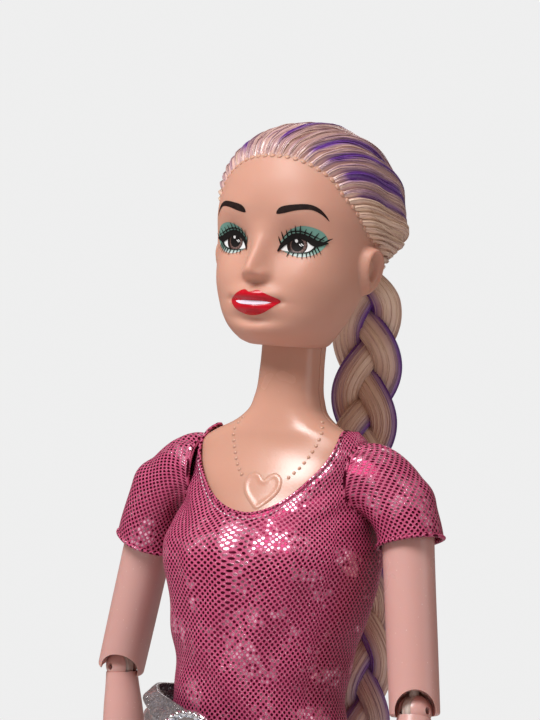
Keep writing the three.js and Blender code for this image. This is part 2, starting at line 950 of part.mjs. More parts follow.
// Brooch on the doll's right front: a ring of beads round a plate, with a set stone
const brooch_azimuth = -9;
const brooch_turn_share = 0.9;
const brooch_drop = 0.2;
const brooch_lift = 0.4;
const brooch_bead_count = 14;
const brooch_pocket_share = 0.78;
const brooch_bead_share = 0.9;

function brooch_place(geometry) {
  const angle = brooch_azimuth * degree;
  const facing = angle * brooch_turn_share;
  const out = brooch_depth / 2 + brooch_lift;
  const x = sash_half_width * Math.sin(angle);
  const y = -sash_depth * (sash_centre_share + (1 - sash_centre_share) * Math.cos(angle));
  geometry.rotateX(Math.PI / 2);
  geometry.rotateZ(facing);
  return geometry.translate(
    x + Math.sin(facing) * out,
    y - Math.cos(facing) * out,
    sash_middle_height + sash_climb(x) - brooch_drop,
  );
}

function brooch_frame() {
  const plate = rod(
    brooch_radius,
    point(0, 0, -brooch_depth / 2),
    point(0, 0, brooch_depth / 2),
    fine_sides,
  );
  let frame = plate.subtract(rod(
    brooch_radius * brooch_pocket_share,
    point(0, 0, 0),
    point(0, 0, cut_overrun),
    limb_sides,
  ));
  for (let step = 0; step < brooch_bead_count; step += 1) {
    const angle = (2 * Math.PI * step) / brooch_bead_count;
    const reach = brooch_radius * brooch_bead_share;
    const [x, y] = [reach * Math.cos(angle), reach * Math.sin(angle)];
    frame = frame.add(ball(bead_radius, x, y, brooch_depth / 2, finger_sides));
  }
  return skin(frame);
}

function brooch_stone() {
  const radius = brooch_radius * brooch_pocket_share - 2 * running_gap;
  const geometry = new THREE.SphereGeometry(1, small_sides, finger_sides);
  geometry.scale(radius, brooch_depth * 0.6, radius);
  geometry.rotateX(Math.PI / 2);
  return geometry.translate(0, 0, brooch_depth * 0.6 + running_gap);
}

add(doll, 'brooch_frame', brooch_place(brooch_frame()), silver);
add(doll, 'brooch_stone', brooch_place(brooch_stone()), stone);

// Trouser seat: a shell over the pelvis, open below where the legs swing
function trouser_seat() {
  const outer = [];
  const inner = [];
  for (const [height_share, side_share, front_share, back_share] of torso_shares) {
    const z = trunk_height(height_share);
    if (z <= hip_height + seat_top_rise) {
      const half = torso_half_width * side_share + soft_gap;
      const front = torso_depth * front_share + soft_gap;
      const back = torso_depth * back_share + soft_gap;
      const [wide, ahead, behind] = [half + trouser_wall, front + trouser_wall, back + trouser_wall];
      outer.push(ring(z, wide, ahead, behind, fine_sides, torso_power));
      inner.push(ring(z, half, front, back, fine_sides, torso_power));
    }
  }
  let seat = cloth_tube(outer, inner);
  seat = seat.subtract(pelvis_cutter());
  for (const side of [-1, 1]) {
    seat = seat.subtract(ball(
      leg_dome_radius + leg_dome_gap,
      side * hip_spacing,
      0,
      hip_height,
      limb_sides,
    ));
  }
  return seat;
}

add(doll, 'trouser_seat', skin(trouser_seat()), glitter);

// Limbs run down -Z from their own joint. A profile is rows of a distance and a radius.
function limb(rows, sides = limb_sides) {
  const rings = [];
  for (const [distance, radius, back_radius, shift] of rows) {
    rings.push(ring(-distance, radius, radius, back_radius ?? radius, sides, 2, 0, shift ?? 0));
  }
  return loft(rings);
}

// The rows of a rounded top, from the given step of its curve on
function dome(radius, first_step) {
  const rows = [];
  for (let step = first_step; step < dome_steps; step += 1) {
    const angle = ((step / dome_steps) * (90 - dome_start) + dome_start) * degree;
    rows.push([-radius * Math.cos(angle), radius * Math.sin(angle)]);
  }
  return rows;
}

// Upper arm: profile as shares of the length and of the radius
const upper_arm_shares = [
  [0.06, 1.15],
  [0.16, 1.09],
  [0.35, 1.03],
  [0.6, 1],
  [0.8, 0.96],
  [0.93, 0.92],
];

function upper_arm(side) {
  const rows = dome(upper_arm_top_radius, 0);
  for (const [distance_share, radius_share] of upper_arm_shares) {
    rows.push([upper_arm_length * distance_share, upper_arm_radius * radius_share]);
  }
  rows.push([upper_arm_length - elbow_rim_rise, upper_arm_radius * 0.9]);
  let arm = solid(limb(rows));
  arm = arm.subtract(ball(shoulder_ball_radius + running_gap, 0, 0, 0));
  const peg_room = shoulder_peg_radius + running_gap;
  arm = arm.subtract(block(
    cut_overrun,
    2 * peg_room,
    cut_overrun,
    -side.sign * (cut_overrun / 2 - shoulder_peg_radius * 0.7),
    0,
    cut_overrun / 2 - peg_room,
  ));
  const elbow = point(0, 0, -upper_arm_length);
  arm = arm.subtract(ball(elbow_recess_radius, elbow.x, elbow.y, elbow.z));
  const facing = side.notch * degree;
  arm = arm.subtract(rod(
    elbow_notch_radius,
    elbow,
    point(cut_overrun * Math.sin(facing), -cut_overrun * Math.cos(facing), elbow.z),
    limb_sides,
  ));
  arm = arm.subtract(rod(
    elbow_stem_radius + running_gap,
    elbow,
    point(0, 0, elbow.z + elbow_stem_length + running_gap),
  ));
  return skin(arm);
}

// Elbow disc: a flat disc on a stem, and the pin that goes through it and the knuckle
function elbow_disc() {
  const half = elbow_disc_thickness / 2;
  let disc = rod(elbow_disc_radius, point(-half, 0, 0), point(half, 0, 0), limb_sides);
  disc = disc.add(rod(elbow_stem_radius, point(0, 0, 0), point(0, 0, elbow_stem_length)));
  return disc.subtract(rod(
    elbow_pin_radius + running_gap,
    point(-cut_overrun, 0, 0),
    point(cut_overrun, 0, 0),
  ));
}

// Forearm: a round knuckle with a slot, a swelling and a narrow wrist
const forearm_shares = [
  [0.03, 0.76],
  [0.09, 0.79],
  [0.2, 0.92],
  [0.32, 1],
  [0.5, 0.96],
  [0.72, 0.8],
  [0.9, 0.69],
  [1, 0.67],
];

function forearm() {
  const rows = forearm_shares.map(([distance_share, radius_share]) => [
    forearm_length * distance_share,
    forearm_radius * radius_share,
  ]);
  let arm = solid(limb(rows));
  arm = arm.add(ball(knuckle_radius, 0, 0, 0));
  const slot_half = elbow_disc_thickness / 2 + running_gap;
  const slot_radius = elbow_disc_radius + running_gap;
  arm = arm.subtract(rod(slot_radius, point(-slot_half, 0, 0), point(slot_half, 0, 0), limb_sides));
  arm = arm.subtract(block(2 * slot_half, 2 * slot_radius, 2 * slot_radius, 0, 0, slot_radius));
  const stem_room = 2 * (elbow_stem_radius + running_gap);
  arm = arm.subtract(block(
    2 * slot_half,
    cut_overrun,
    slot_radius + stem_room,
    0,
    cut_overrun / 2,
    (slot_radius - stem_room) / 2,
  ));
  arm = arm.subtract(rod(
    elbow_pin_radius + press_gap,
    point(-cut_overrun, 0, 0),
    point(cut_overrun, 0, 0),
    pin_sides,
  ));
  arm = arm.subtract(rod(
    wrist_peg_radius + running_gap,
    point(0, 0, -forearm_length - cut_overrun),
    point(0, 0, -forearm_length + wrist_peg_length + running_gap),
  ));
  return skin(arm);
}

// Hand: a peg, a flattened palm, four fingers and a thumb
const finger_length_shares = [0.34, 0.4, 0.38, 0.28];
const palm_length_share = 0.55;
const palm_shares = [
  [0.02, 0.8, 1.5],
  [0.25, 0.9, 1.2],
  [0.6, 1, 1],
  [0.9, 0.95, 0.85],
  [1, 0.8, 0.6],
];

function hand(side) {
  const palm_length = hand_length * palm_length_share;
  const rings = [];
  for (const [distance_share, width_share, thickness_share] of palm_shares) {
    const half = hand_half_width * width_share;
    const thick = hand_half_thickness * thickness_share;
    rings.push(ring(-palm_length * distance_share, thick, half, half, pin_sides, 2.4));
  }
  let body = solid(loft(rings));
  const peg_start = point(0, 0, -wrist_peg_radius);
  body = body.add(rod(wrist_peg_radius, peg_start, point(0, 0, wrist_peg_length)));
  const pitch = 2 * finger_radius;
  const curl = side.sign * hand_half_thickness * 0.7;
  finger_length_shares.forEach((length_share, finger) => {
    const y = (finger - (finger_length_shares.length - 1) / 2) * pitch;
    const knuckle = point(0, y, -palm_length * 0.9);
    const tip = point(-curl, y * 1.3, -palm_length * 0.9 - hand_length * length_share);
    body = body.add(rod(finger_radius, knuckle, tip, finger_sides, finger_radius * 0.6));
  });
  const thumb_root = point(0, -hand_half_width * 0.6, -palm_length * 0.35);
  const thumb_tip = point(-curl * 1.3, -hand_half_width * 1.75, -palm_length * 1.05);
  body = body.add(rod(finger_radius * 1.15, thumb_root, thumb_tip, finger_sides, finger_radius * 0.7));
  return skin(body);
}

// Sleeve: a tube round the top of the arm that bends into a round cap over the shoulder
const sleeve_shares = [
  [0, 1.04],
  [0.3, 1.01],
  [0.6, 1],
  [1, 1.03],
];

function sleeve_form(side, shrink, overrun) {
  const cap_radius = sleeve_radius * sleeve_shares[0][1] - shrink;
  const rows = sleeve_shares.map(([distance_share, radius_share]) => [
    sleeve_length * distance_share,
    sleeve_radius * radius_share - shrink,
  ]);
  rows.push([sleeve_length + overrun, rows[rows.length - 1][1]]);
  const reach = shoulder_spacing - shirt_half_width - soft_gap + overrun;
  const seam = point(-side.sign * reach, 0, sleeve_cap_rise);
  const cap = point(0, 0, sleeve_cap_rise);
  seam.applyAxisAngle(new THREE.Vector3(0, 1, 0), side.sign * side.raise * degree);
  cap.applyAxisAngle(new THREE.Vector3(0, 1, 0), side.sign * side.raise * degree);
  const rows_used = overrun > 0 ? rows : rows.slice(0, -1);
  return solid(limb(rows_used))
    .add(ball(cap_radius, 0, 0, 0))
    .add(rod(cap_radius, cap, point(0, 0, 0), limb_sides))
    .add(ball(cap_radius, cap.x, cap.y, cap.z))
    .add(rod(cap_radius, seam, cap, limb_sides));
}

function sleeve(side) {
  return skin(sleeve_form(side, 0, 0).subtract(sleeve_form(side, cloth_thickness, rim_overrun)));
}

function arm(name, side) {
  const swing = new THREE.Group();
  swing.position.set(side.sign * shoulder_spacing, 0, shoulder_height);
  swing.rotation.x = side.swing * degree;
  doll.add(swing);
  const inner_end = point(-side.sign * shoulder_peg_length, 0, 0);
  const link = rod(shoulder_peg_radius, inner_end, point(0, 0, 0)).add(ball(shoulder_ball_radius, 0, 0, 0));
  add(swing, `shoulder_link_${name}`, skin(link), link_plastic);

  const raise = new THREE.Group();
  raise.rotation.y = -side.sign * side.raise * degree;
  swing.add(raise);
  add(raise, `upper_arm_${name}`, upper_arm(side), limb_plastic);
  add(raise, `sleeve_${name}`, sleeve(side), knit);

  const elbow = new THREE.Group();
  elbow.position.z = -upper_arm_length;
  elbow.rotation.z = (side.notch + side.turn) * degree;
  raise.add(elbow);
  add(elbow, `elbow_disc_${name}`, skin(elbow_disc()), link_plastic);

  const bend = new THREE.Group();
  bend.rotation.x = -side.bend * degree;
  elbow.add(bend);
  add(bend, `forearm_${name}`, forearm(), limb_plastic);
  const pin_reach = knuckle_radius * 0.75;
  add(bend, `elbow_pin_${name}`, skin(rod(
    elbow_pin_radius,
    point(-pin_reach, 0, 0),
    point(pin_reach, 0, 0),
    pin_sides,
  )), steel);

  const wrist = new THREE.Group();
  wrist.position.z = -forearm_length;
  wrist.rotation.z = -(side.notch + side.turn) * degree;
  bend.add(wrist);
  add(wrist, `hand_${name}`, hand(side), limb_plastic);
}

// Legs: profiles as shares of the length and of the radius
const thigh_shares = [
  [0.09, 0.955],
  [0.14, 1],
  [0.3, 0.98],
  [0.55, 0.86],
  [0.8, 0.72],
  [0.93, 0.66],
];
const shin_shares = [
  [0.06, 0.86],
  [0.14, 0.92],
  [0.3, 1],
  [0.5, 0.92],
  [0.75, 0.68],
  [1, 0.58],
];
const knee_rim_rise = 3.6;
const knee_back_cut = 1.2;
const knee_back_rise = 6.4;

function thigh(side) {
  const length = hip_height - knee_height;
  const rows = dome(thigh_top_radius, 0);
  rows.push([length * 0.05, thigh_top_radius]);
  for (const [distance_share, radius_share] of thigh_shares) {
    rows.push([length * distance_share, thigh_radius * radius_share]);
  }
  rows.push([length - knee_rim_rise, thigh_radius * 0.655]);
  let leg = solid(limb(rows));
  leg = leg.subtract(ball(hip_ball_radius + running_gap, 0, 0, 0));
  const axle_room = hip_axle_radius + 2 * running_gap;
  leg = leg.subtract(block(
    cut_overrun,
    2 * axle_room,
    cut_overrun,
    (-side.sign * cut_overrun) / 2,
    0,
    cut_overrun / 2 - axle_room,
  ));
  leg = leg.subtract(rod(
    axle_room + 2 * running_gap,
    point(0, 0, 0),
    point(side.sign * thigh_top_radius * 0.82, 0, 0),
  ));
  leg = leg.subtract(ball(knee_radius + running_gap, 0, 0, -length));
  leg = leg.subtract(block(
    cut_overrun,
    cut_overrun,
    cut_overrun,
    0,
    cut_overrun / 2 + knee_back_cut,
    -length - cut_overrun / 2 + knee_back_rise,
  ));
  const half = knee_disc_thickness / 2;
  const web = knee_radius + knee_rim_rise;
  leg = leg.add(rod(knee_disc_radius, point(-half, 0, -length), point(half, 0, -length), limb_sides));
  leg = leg.add(block(knee_disc_thickness, knee_disc_thickness, web, 0, 0, -length + web / 2));
  return leg.subtract(rod(
    knee_pin_radius + running_gap,
    point(-cut_overrun, 0, -length),
    point(cut_overrun, 0, -length),
    pin_sides,
  ));
}

// Shin with a slotted knee and a foot that points down into the shoe
function shin() {
  const length = knee_height - ankle_height;
  const rows = shin_shares.map(([distance_share, radius_share]) => [
    length * distance_share,
    shin_radius * radius_share,
  ]);
  let leg = solid(limb(rows));
  leg = leg.add(ball(knee_radius, 0, 0, 0));
  const slot_half = knee_disc_thickness / 2 + running_gap;
  const slot_radius = knee_disc_radius + running_gap;
  leg = leg.subtract(rod(slot_radius, point(-slot_half, 0, 0), point(slot_half, 0, 0), limb_sides));
  leg = leg.subtract(block(2 * slot_half, 2 * slot_radius, 2 * slot_radius, 0, 0, slot_radius));
  leg = leg.subtract(block(2 * slot_half, 2 * slot_radius, 2 * knee_disc_thickness, 0, slot_radius, 0));
  leg = leg.subtract(rod(
    knee_pin_radius + press_gap,
    point(-cut_overrun, 0, 0),
    point(cut_overrun, 0, 0),
    pin_sides,
  ));
  return leg.add(foot(length, 0));
}

// Foot: rings from the ankle down and forward to the toes
const foot_shares = [
  [0, -0.12, 0.8, 0.62],
  [0.12, 0.3, 0.92, 0.66],
  [0.38, 0.58, 0.74, 0.7],
  [0.66, 0.83, 0.42, 0.74],
  [0.84, 0.92, 0.26, 0.64],
  [0.92, 0.93, 0.16, 0.46],
];

function foot(length, grow) {
  const rings = [];
  const drop = ankle_height - 1.85 * sole_thickness;
  for (const [forward_share, drop_share, height_share, width_share] of foot_shares) {
    const centre = point(
      0,
      ankle_radius * 0.4 - shoe_length * 0.72 * forward_share,
      -length - drop * drop_share,
    );
    const lean = (20 + 50 * forward_share) * degree;
    const points = [];
    for (let step = 0; step < small_sides; step += 1) {
      const angle = (2 * Math.PI * step) / small_sides;
      const place = point(
        (shoe_half_width * width_share + grow) * Math.sin(angle),
        (ankle_radius * height_share + grow) * Math.cos(angle),
        0,
      );
      place.applyAxisAngle(across, lean);
      points.push(place.add(centre));
    }
    rings.push(points);
  }
  return solid(loft(rings));
}

// Shoe: a court shoe with a block heel, hollowed by the foot
const shoe_shares = [
  [0.3, 0.62, 1.32],
  [0.16, 0.86, 1.36],
  [0, 0.93, 1.25],
  [-0.25, 0.93, 0.95],
  [-0.5, 1, 0.82],
  [-0.75, 0.98, 0.66],
  [-0.92, 0.72, 0.54],
  [-1, 0.34, 0.42],
];

function shoe(length) {
  const rings = [];
  const bottom = -length - ankle_height;
  for (const [forward_share, width_share, height_share] of shoe_shares) {
    const y = shoe_length * 0.76 * forward_share + ankle_radius * 0.3;
    const rise = Math.max(0, forward_share + 0.45) * heel_height * 1.25;
    const top = bottom + rise + heel_height * height_share;
    const half = shoe_half_width * width_share;
    const low = bottom + rise;
    rings.push([
      point(-half * 0.85, y, low),
      point(half * 0.85, y, low),
      point(half, y, low + (top - low) * 0.35),
      point(half * 0.85, y, top - (top - low) * 0.15),
      point(half * 0.35, y, top),
      point(-half * 0.35, y, top),
      point(-half * 0.85, y, top - (top - low) * 0.15),
      point(-half, y, low + (top - low) * 0.35),
    ]);
  }
  let upper = solid(loft(rings));
  const heel_top = bottom + heel_height * 0.9;
  const heel_y = shoe_length * 0.12 + ankle_radius * 0.3;
  const low_half = shoe_half_width * 0.5;
  const high_half = shoe_half_width * 0.78;
  const heel = loft([
    ring(bottom, low_half, low_half, low_half, pin_sides, 3, 0, heel_y),
    ring(heel_top, high_half, high_half, high_half, pin_sides, 3, 0, heel_y),
  ]);
  upper = upper.add(solid(heel));
  return upper;
}

// Trouser leg: a tube over the thigh and shin, a little wider at the hem
const trouser_shares = [
  [0.03, 1.12],
  [0.08, 1.14],
  [0.2, 1.13],
  [0.35, 1.05],
  [0.5, 0.92],
  [0.57, 0.88],
  [0.7, 0.88],
  [0.85, 0.84],
  [1, 0.94],
];

function trouser_leg(side) {
  const length = hip_height - trouser_hem_height;
  const outer = dome(leg_dome_radius, 2);
  const inner = dome(leg_dome_radius - trouser_wall, 2);
  for (const [distance_share, radius_share] of trouser_shares) {
    outer.push([length * distance_share, thigh_radius * radius_share]);
    inner.push([length * distance_share, thigh_radius * radius_share - trouser_wall]);
  }
  inner.unshift([inner[0][0] - rim_overrun, inner[0][1]]);
  inner.push([length + rim_overrun, inner[inner.length - 1][1]]);
  const cloth = solid(limb(outer)).subtract(solid(limb(inner)));
  const inner_cut = hip_spacing - crotch_half_width - 2 * soft_gap;
  return cloth.subtract(block(
    cut_overrun,
    2 * cut_overrun,
    2 * cut_overrun,
    -side.sign * (inner_cut + cut_overrun / 2),
    0,
    cut_overrun - crotch_half_depth - soft_gap,
  ));
}

function leg(name, side) {
  const hip = new THREE.Group();
  hip.position.set(side.sign * hip_spacing, 0, hip_height);
  doll.add(hip);
  const bore = rod(
    hip_axle_radius + press_gap,
    point(-cut_overrun, 0, 0),
    point(cut_overrun, 0, 0),
  );
  add(hip, `hip_ball_${name}`, skin(ball(hip_ball_radius, 0, 0, 0).subtract(bore)), link_plastic);
  add(hip, `thigh_${name}`, skin(thigh(side)), limb_plastic);
  add(hip, `trouser_leg_${name}`, skin(trouser_leg(side)), glitter);
  const knee = new THREE.Group();
  knee.position.z = knee_height - hip_height;
  hip.add(knee);
  add(knee, `shin_${name}`, skin(shin()), limb_plastic);
  const pin_reach = knee_radius * 0.78;
  add(knee, `knee_pin_${name}`, skin(rod(
    knee_pin_radius,
    point(-pin_reach, 0, 0),
    point(pin_reach, 0, 0),
    pin_sides,
  )), steel);
  const length = knee_height - ankle_height;
  const grown = foot(length, running_gap);
  add(knee, `shoe_${name}`, skin(shoe(length).subtract(grown)), shoe_plastic);
}

for (const [name, side] of Object.entries(rest_pose)) {
  arm(name, side);
  leg(name, side);
}

export default doll;
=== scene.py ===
# %% [markdown]
# A jointed fashion doll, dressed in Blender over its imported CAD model.
# The CAD model gives every size and every joint. This file gives the looks: painted vinyl, rooted hair,
# knitted cloth, glitter fabric and moulded plastic. The frame is loaded first and is never moved.

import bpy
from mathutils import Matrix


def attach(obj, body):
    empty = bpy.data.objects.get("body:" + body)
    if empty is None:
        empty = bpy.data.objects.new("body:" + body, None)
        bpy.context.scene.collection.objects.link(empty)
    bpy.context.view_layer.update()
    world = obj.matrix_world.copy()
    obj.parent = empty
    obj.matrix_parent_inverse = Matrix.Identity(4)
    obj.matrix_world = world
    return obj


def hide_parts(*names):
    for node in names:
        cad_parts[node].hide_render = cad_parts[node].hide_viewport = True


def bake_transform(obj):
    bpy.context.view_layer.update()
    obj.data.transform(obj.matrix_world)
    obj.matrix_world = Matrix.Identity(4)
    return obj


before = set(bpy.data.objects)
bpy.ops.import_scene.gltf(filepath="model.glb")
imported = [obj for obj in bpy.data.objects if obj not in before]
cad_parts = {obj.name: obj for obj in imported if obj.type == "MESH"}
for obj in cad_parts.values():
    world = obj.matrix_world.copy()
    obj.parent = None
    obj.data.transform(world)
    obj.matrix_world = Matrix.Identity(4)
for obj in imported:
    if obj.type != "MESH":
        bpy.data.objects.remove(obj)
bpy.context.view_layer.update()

# %% Other modules, and random numbers with a seed, so that every run gives the same doll
import math

import bmesh
import bpy
import numpy as np
from mathutils import Matrix, Vector
from mathutils.bvhtree import BVHTree
from mathutils.geometry import delaunay_2d_cdt

MM = 0.001
WAIST = 185.0
chin = 250.5
chance = np.random.default_rng(7)

# %% [markdown]
# The doll is measured in millimetres, and heights are measured up from the soles, as a doll maker would.
# Blender wants metres, and the frame's origin lies in the waist, so one function changes from the one to
# the other. The same function makes the mesh object, because every piece needs both.


# %% Points in doll millimetres become mesh vertices in the frame
def framed(points):
    placed = np.array(points, float).reshape(-1, 3).copy()
    placed[:, 2] -= WAIST
    return placed * MM


neck_ball = np.array([0, 0, 257.0])
head_nod = 6.5
head_tilt = 2.0
head_turn = -5.0


def as_held(points):
    """Head points, turned about the neck ball: the doll looks down a little and leans to its left."""
    nod, tilt, turn = (math.radians(angle) for angle in (head_nod, head_tilt, head_turn))
    turn = Matrix.Rotation(tilt, 3, "Y") @ Matrix.Rotation(nod, 3, "X") @ Matrix.Rotation(turn, 3, "Z")
    return (np.array(points, float).reshape(-1, 3) - neck_ball) @ np.array(turn).T + neck_ball


def piece(name, points, faces, finish, body=None, replaces=(), smooth=True, lay=None, tints=None):
    """A mesh piece. lay holds a cloth coordinate in mm for each point, and tints a number for each."""
    if body == "head":
        points = as_held(points)
    mesh = bpy.data.meshes.new(name)
    mesh.from_pydata(framed(points).tolist(), [], [list(map(int, face)) for face in faces])
    mesh.polygons.foreach_set("use_smooth", [smooth] * len(mesh.polygons))
    if lay is not None:
        layer = mesh.attributes.new("lay", "FLOAT_VECTOR", "POINT")
        layer.data.foreach_set("vector", np.array(lay, np.float32).ravel())
    if tints is not None:
        layer = mesh.attributes.new("tint", "FLOAT", "POINT")
        layer.data.foreach_set("value", np.array(tints, np.float32).ravel())
    mesh.update()
    obj = bpy.data.objects.new(name, mesh)
    bpy.context.collection.objects.link(obj)
    mesh.materials.append(finish)
    if replaces:
        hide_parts(*replaces)
    if body:
        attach(obj, body)
    return obj


# %% [markdown]
# Most pieces are skins through rows of points: a row for each height, a column for each angle. The rows
# come from short tables, and a smooth curve through the table gives as many rows as the piece needs.


# %% Smooth curves through tables, and faces between rows
def smooth_way(share, low, high, gap, leave, reach):
    """A smooth curve from low to high over a gap, with the slope it leaves and the slope it reaches."""
    return (
        (2 * share**3 - 3 * share**2 + 1) * low
        + (share**3 - 2 * share**2 + share) * gap * leave
        + (3 * share**2 - 2 * share**3) * high
        + (share**3 - share**2) * gap * reach
    )


def through(table, places):
    """Each column of the table as a smooth curve over its first column, read at the places."""
    table = np.array(table, float)
    places = np.clip(np.asarray(places, float), table[0, 0], table[-1, 0])
    keys = table[:, 0]
    slopes = np.gradient(table[:, 1:], keys, axis=0)
    index = np.clip(np.searchsorted(keys, places, side="right") - 1, 0, len(keys) - 2)
    gap = keys[index + 1] - keys[index]
    share = ((places - keys[index]) / gap)[..., None]
    low, high = table[index, 1:], table[index + 1, 1:]
    return smooth_way(share, low, high, gap[..., None], slopes[index], slopes[index + 1])


def row_faces(rows, columns, looped=False):
    """Faces between rows that each close on themselves. looped joins the last row to the first."""
    faces = []
    for row in range(rows if looped else rows - 1):
        low, high = row * columns, (row + 1) % rows * columns
        for column in range(columns):
            after = (column + 1) % columns
            faces.append((low + column, low + after, high + after, high + column))
    return faces


def skin(rows, caps="none"):
    """Points and faces of a skin through rows of points. caps says which ends are closed by a fan."""
    rows = np.array(rows, float)
    count, columns = rows.shape[:2]
    points = rows.reshape(-1, 3)
    faces = row_faces(count, columns)
    for row in {"none": (), "end": (count - 1,), "both": (0, count - 1)}[caps]:
        points = np.vstack([points, rows[row].mean(axis=0)])
        start = row * columns
        for column in range(columns):
            after = (column + 1) % columns
            face = (start + column, start + after, len(points) - 1)
            faces.append(face[::-1] if row == 0 else face)
    return points, faces


def full_turn(count):
    """Angles spread evenly over a full turn."""
    return np.linspace(0, 2 * np.pi, count, endpoint=False)


def level(x, y, z):
    """A row of points that all lie at one height."""
    return np.column_stack([x, y, np.full_like(x, z)])


def run_along(points):
    """How far along its line each point lies. For rows of points, each column is a line."""
    steps = np.linalg.norm(np.diff(points, axis=0), axis=-1)
    return np.concatenate([np.zeros((1, *steps.shape[1:])), np.cumsum(steps, axis=0)])


def ray_tree(points, faces):
    """A form as rays can be cast at it."""
    return BVHTree.FromPolygons([Vector(point) for point in points], faces)


def smoothstep(low, high, value):
    t = np.clip((np.asarray(value, float) - low) / (high - low), 0, 1)
    return t * t * (3 - 2 * t)


def bump(value, middle, width):
    return np.exp(-(((np.asarray(value, float) - middle) / width) ** 2))


def rounded(angles, power):
    """Sideways and forward shares of a rounded outline; a power of 2 gives an ellipse, more is squarer."""
    side, ahead = np.sin(angles), np.cos(angles)
    sideways = np.sign(side) * np.abs(side) ** (2 / power)
    forward = np.sign(ahead) * np.abs(ahead) ** (2 / power)
    return sideways, forward


# %% [markdown]
# Shader maths reads best as ordinary sums. A small class wraps a socket and gives it the operators, so a
# finish is written as expressions. Colours and vectors go through Mix and Vector Math nodes.


# %% Sockets that can be added, multiplied and mixed
class Socket:
    """The output of a node. A sum with it adds a Math node."""

    def __init__(self, tree, socket):
        self.tree = tree
        self.socket = socket

    def math(self, operation, other=None, first=None):
        node = self.tree.nodes.new("ShaderNodeMath")
        node.operation = operation
        for index, value in enumerate((self if first is None else first, other)):
            if value is not None:
                put(self.tree, node.inputs[index], value)
        return Socket(self.tree, node.outputs[0])

    def __add__(self, other):
        return self.math("ADD", other)

    def __radd__(self, other):
        return self.math("ADD", other)

    def __sub__(self, other):
        return self.math("SUBTRACT", other)

    def __rsub__(self, other):
        return self.math("SUBTRACT", self, first=other)

    def __mul__(self, other):
        return self.math("MULTIPLY", other)

    def __rmul__(self, other):
        return self.math("MULTIPLY", other)

    def __truediv__(self, other):
        return self.math("DIVIDE", other)

    def __rtruediv__(self, other):
        return self.math("DIVIDE", self, first=other)

    def __pow__(self, other):
        return self.math("POWER", other)

    def __rpow__(self, other):
        return self.math("POWER", self, first=other)

    def __mod__(self, other):
        return self.math("FLOORED_MODULO", other)

    def __rmod__(self, other):
        return self.math("FLOORED_MODULO", self, first=other)


def put(tree, target, value):
    """Links a socket to a node's input, or sets the input to a number or a colour."""
    if isinstance(value, Socket):
        tree.links.new(value.socket, target)
    elif isinstance(value, bpy.types.NodeSocket):
        tree.links.new(value, target)
    else:
        if target.type == "RGBA" and len(value) == 3:
            value = (*value, 1)
        target.default_value = value


class Finish:
    """A material with one principled shader, and one method that makes any other node."""

    def __init__(self, name):
        self.material = bpy.data.materials.new(name)
        self.material.use_nodes = True
        self.tree = self.material.node_tree
        self.shader = next(node for node in self.tree.nodes if node.type == "BSDF_PRINCIPLED")

    def node(self, kind, settings=(), **values):
        node = self.tree.nodes.new(kind)
        for key, value in dict(settings).items():
            if key == "stops":
                ramp = node.color_ramp
                while len(ramp.elements) > 1:
                    ramp.elements.remove(ramp.elements[-1])
                for index, (place, colour) in enumerate(value):
                    stop = ramp.elements[0] if index == 0 else ramp.elements.new(place)
                    stop.position = place
                    stop.color = (*colour, 1)
            else:
                setattr(node, key, value)
        for key, value in values.items():
            name = key.replace("_", " ")
            target = next(socket for socket in node.inputs if socket.name == name and socket.enabled)
            put(self.tree, target, value)
        return node

    def out(self, node, name=None):
        usable = [socket for socket in node.outputs if socket.enabled]
        chosen = usable[0] if name is None else next(socket for socket in usable if socket.name == name)
        return Socket(self.tree, chosen)

    def attribute(self, name, output):
        return self.out(self.node("ShaderNodeAttribute", {"attribute_name": name}), output)

    def place(self):
        return self.out(self.node("ShaderNodeTexCoord"), "Object")

    def noise(self, where, scale, detail, roughness=0.5):
        node = self.node("ShaderNodeTexNoise", Vector=where, Scale=scale, Detail=detail, Roughness=roughness)
        return self.out(node, "Fac")

    def cells(self, where, scale, output):
        return self.out(self.node("ShaderNodeTexVoronoi", Vector=where, Scale=scale), output)

    def parts(self, where):
        node = self.node("ShaderNodeSeparateXYZ", Vector=where)
        return [Socket(self.tree, socket) for socket in node.outputs]

    def mix(self, share, first, second):
        node = self.node("ShaderNodeMix", {"data_type": "RGBA"}, Factor=share, A=first, B=second)
        return self.out(node, "Result")

    def ramp(self, value, stops):
        return self.out(self.node("ShaderNodeValToRGB", {"stops": stops}, Fac=value), "Color")

    def limit(self, value, low, high, to_low=0.0, to_high=1.0):
        node = self.node("ShaderNodeMapRange", {"clamp": True})
        for name, number in (("From Min", low), ("From Max", high), ("To Min", to_low), ("To Max", to_high)):
            node.inputs[name].default_value = number
        put(self.tree, node.inputs["Value"], value)
        return self.out(node, "Result")

    def relief(self, height, strength, distance):
        node = self.node("ShaderNodeBump", Height=height, Strength=strength, Distance=distance)
        return self.out(node, "Normal")

    def set(self, **values):
        for key, value in values.items():
            put(self.tree, self.shader.inputs[key.replace("_", " ")], value)
        return self


# %% [markdown]
# The camera stands a little below the doll's face, to its left, as a hand held camera would, and looks
# slightly up with a long lens. The doll hangs in the air, and the picture ends at its waist.

# %% Camera
camera_turn = 28.0
camera_distance = 450.0
camera_height = 208.8
aim_height = 247.2
aim_left = 4.5
camera_roll = 5.2
camera_lens = 115.0


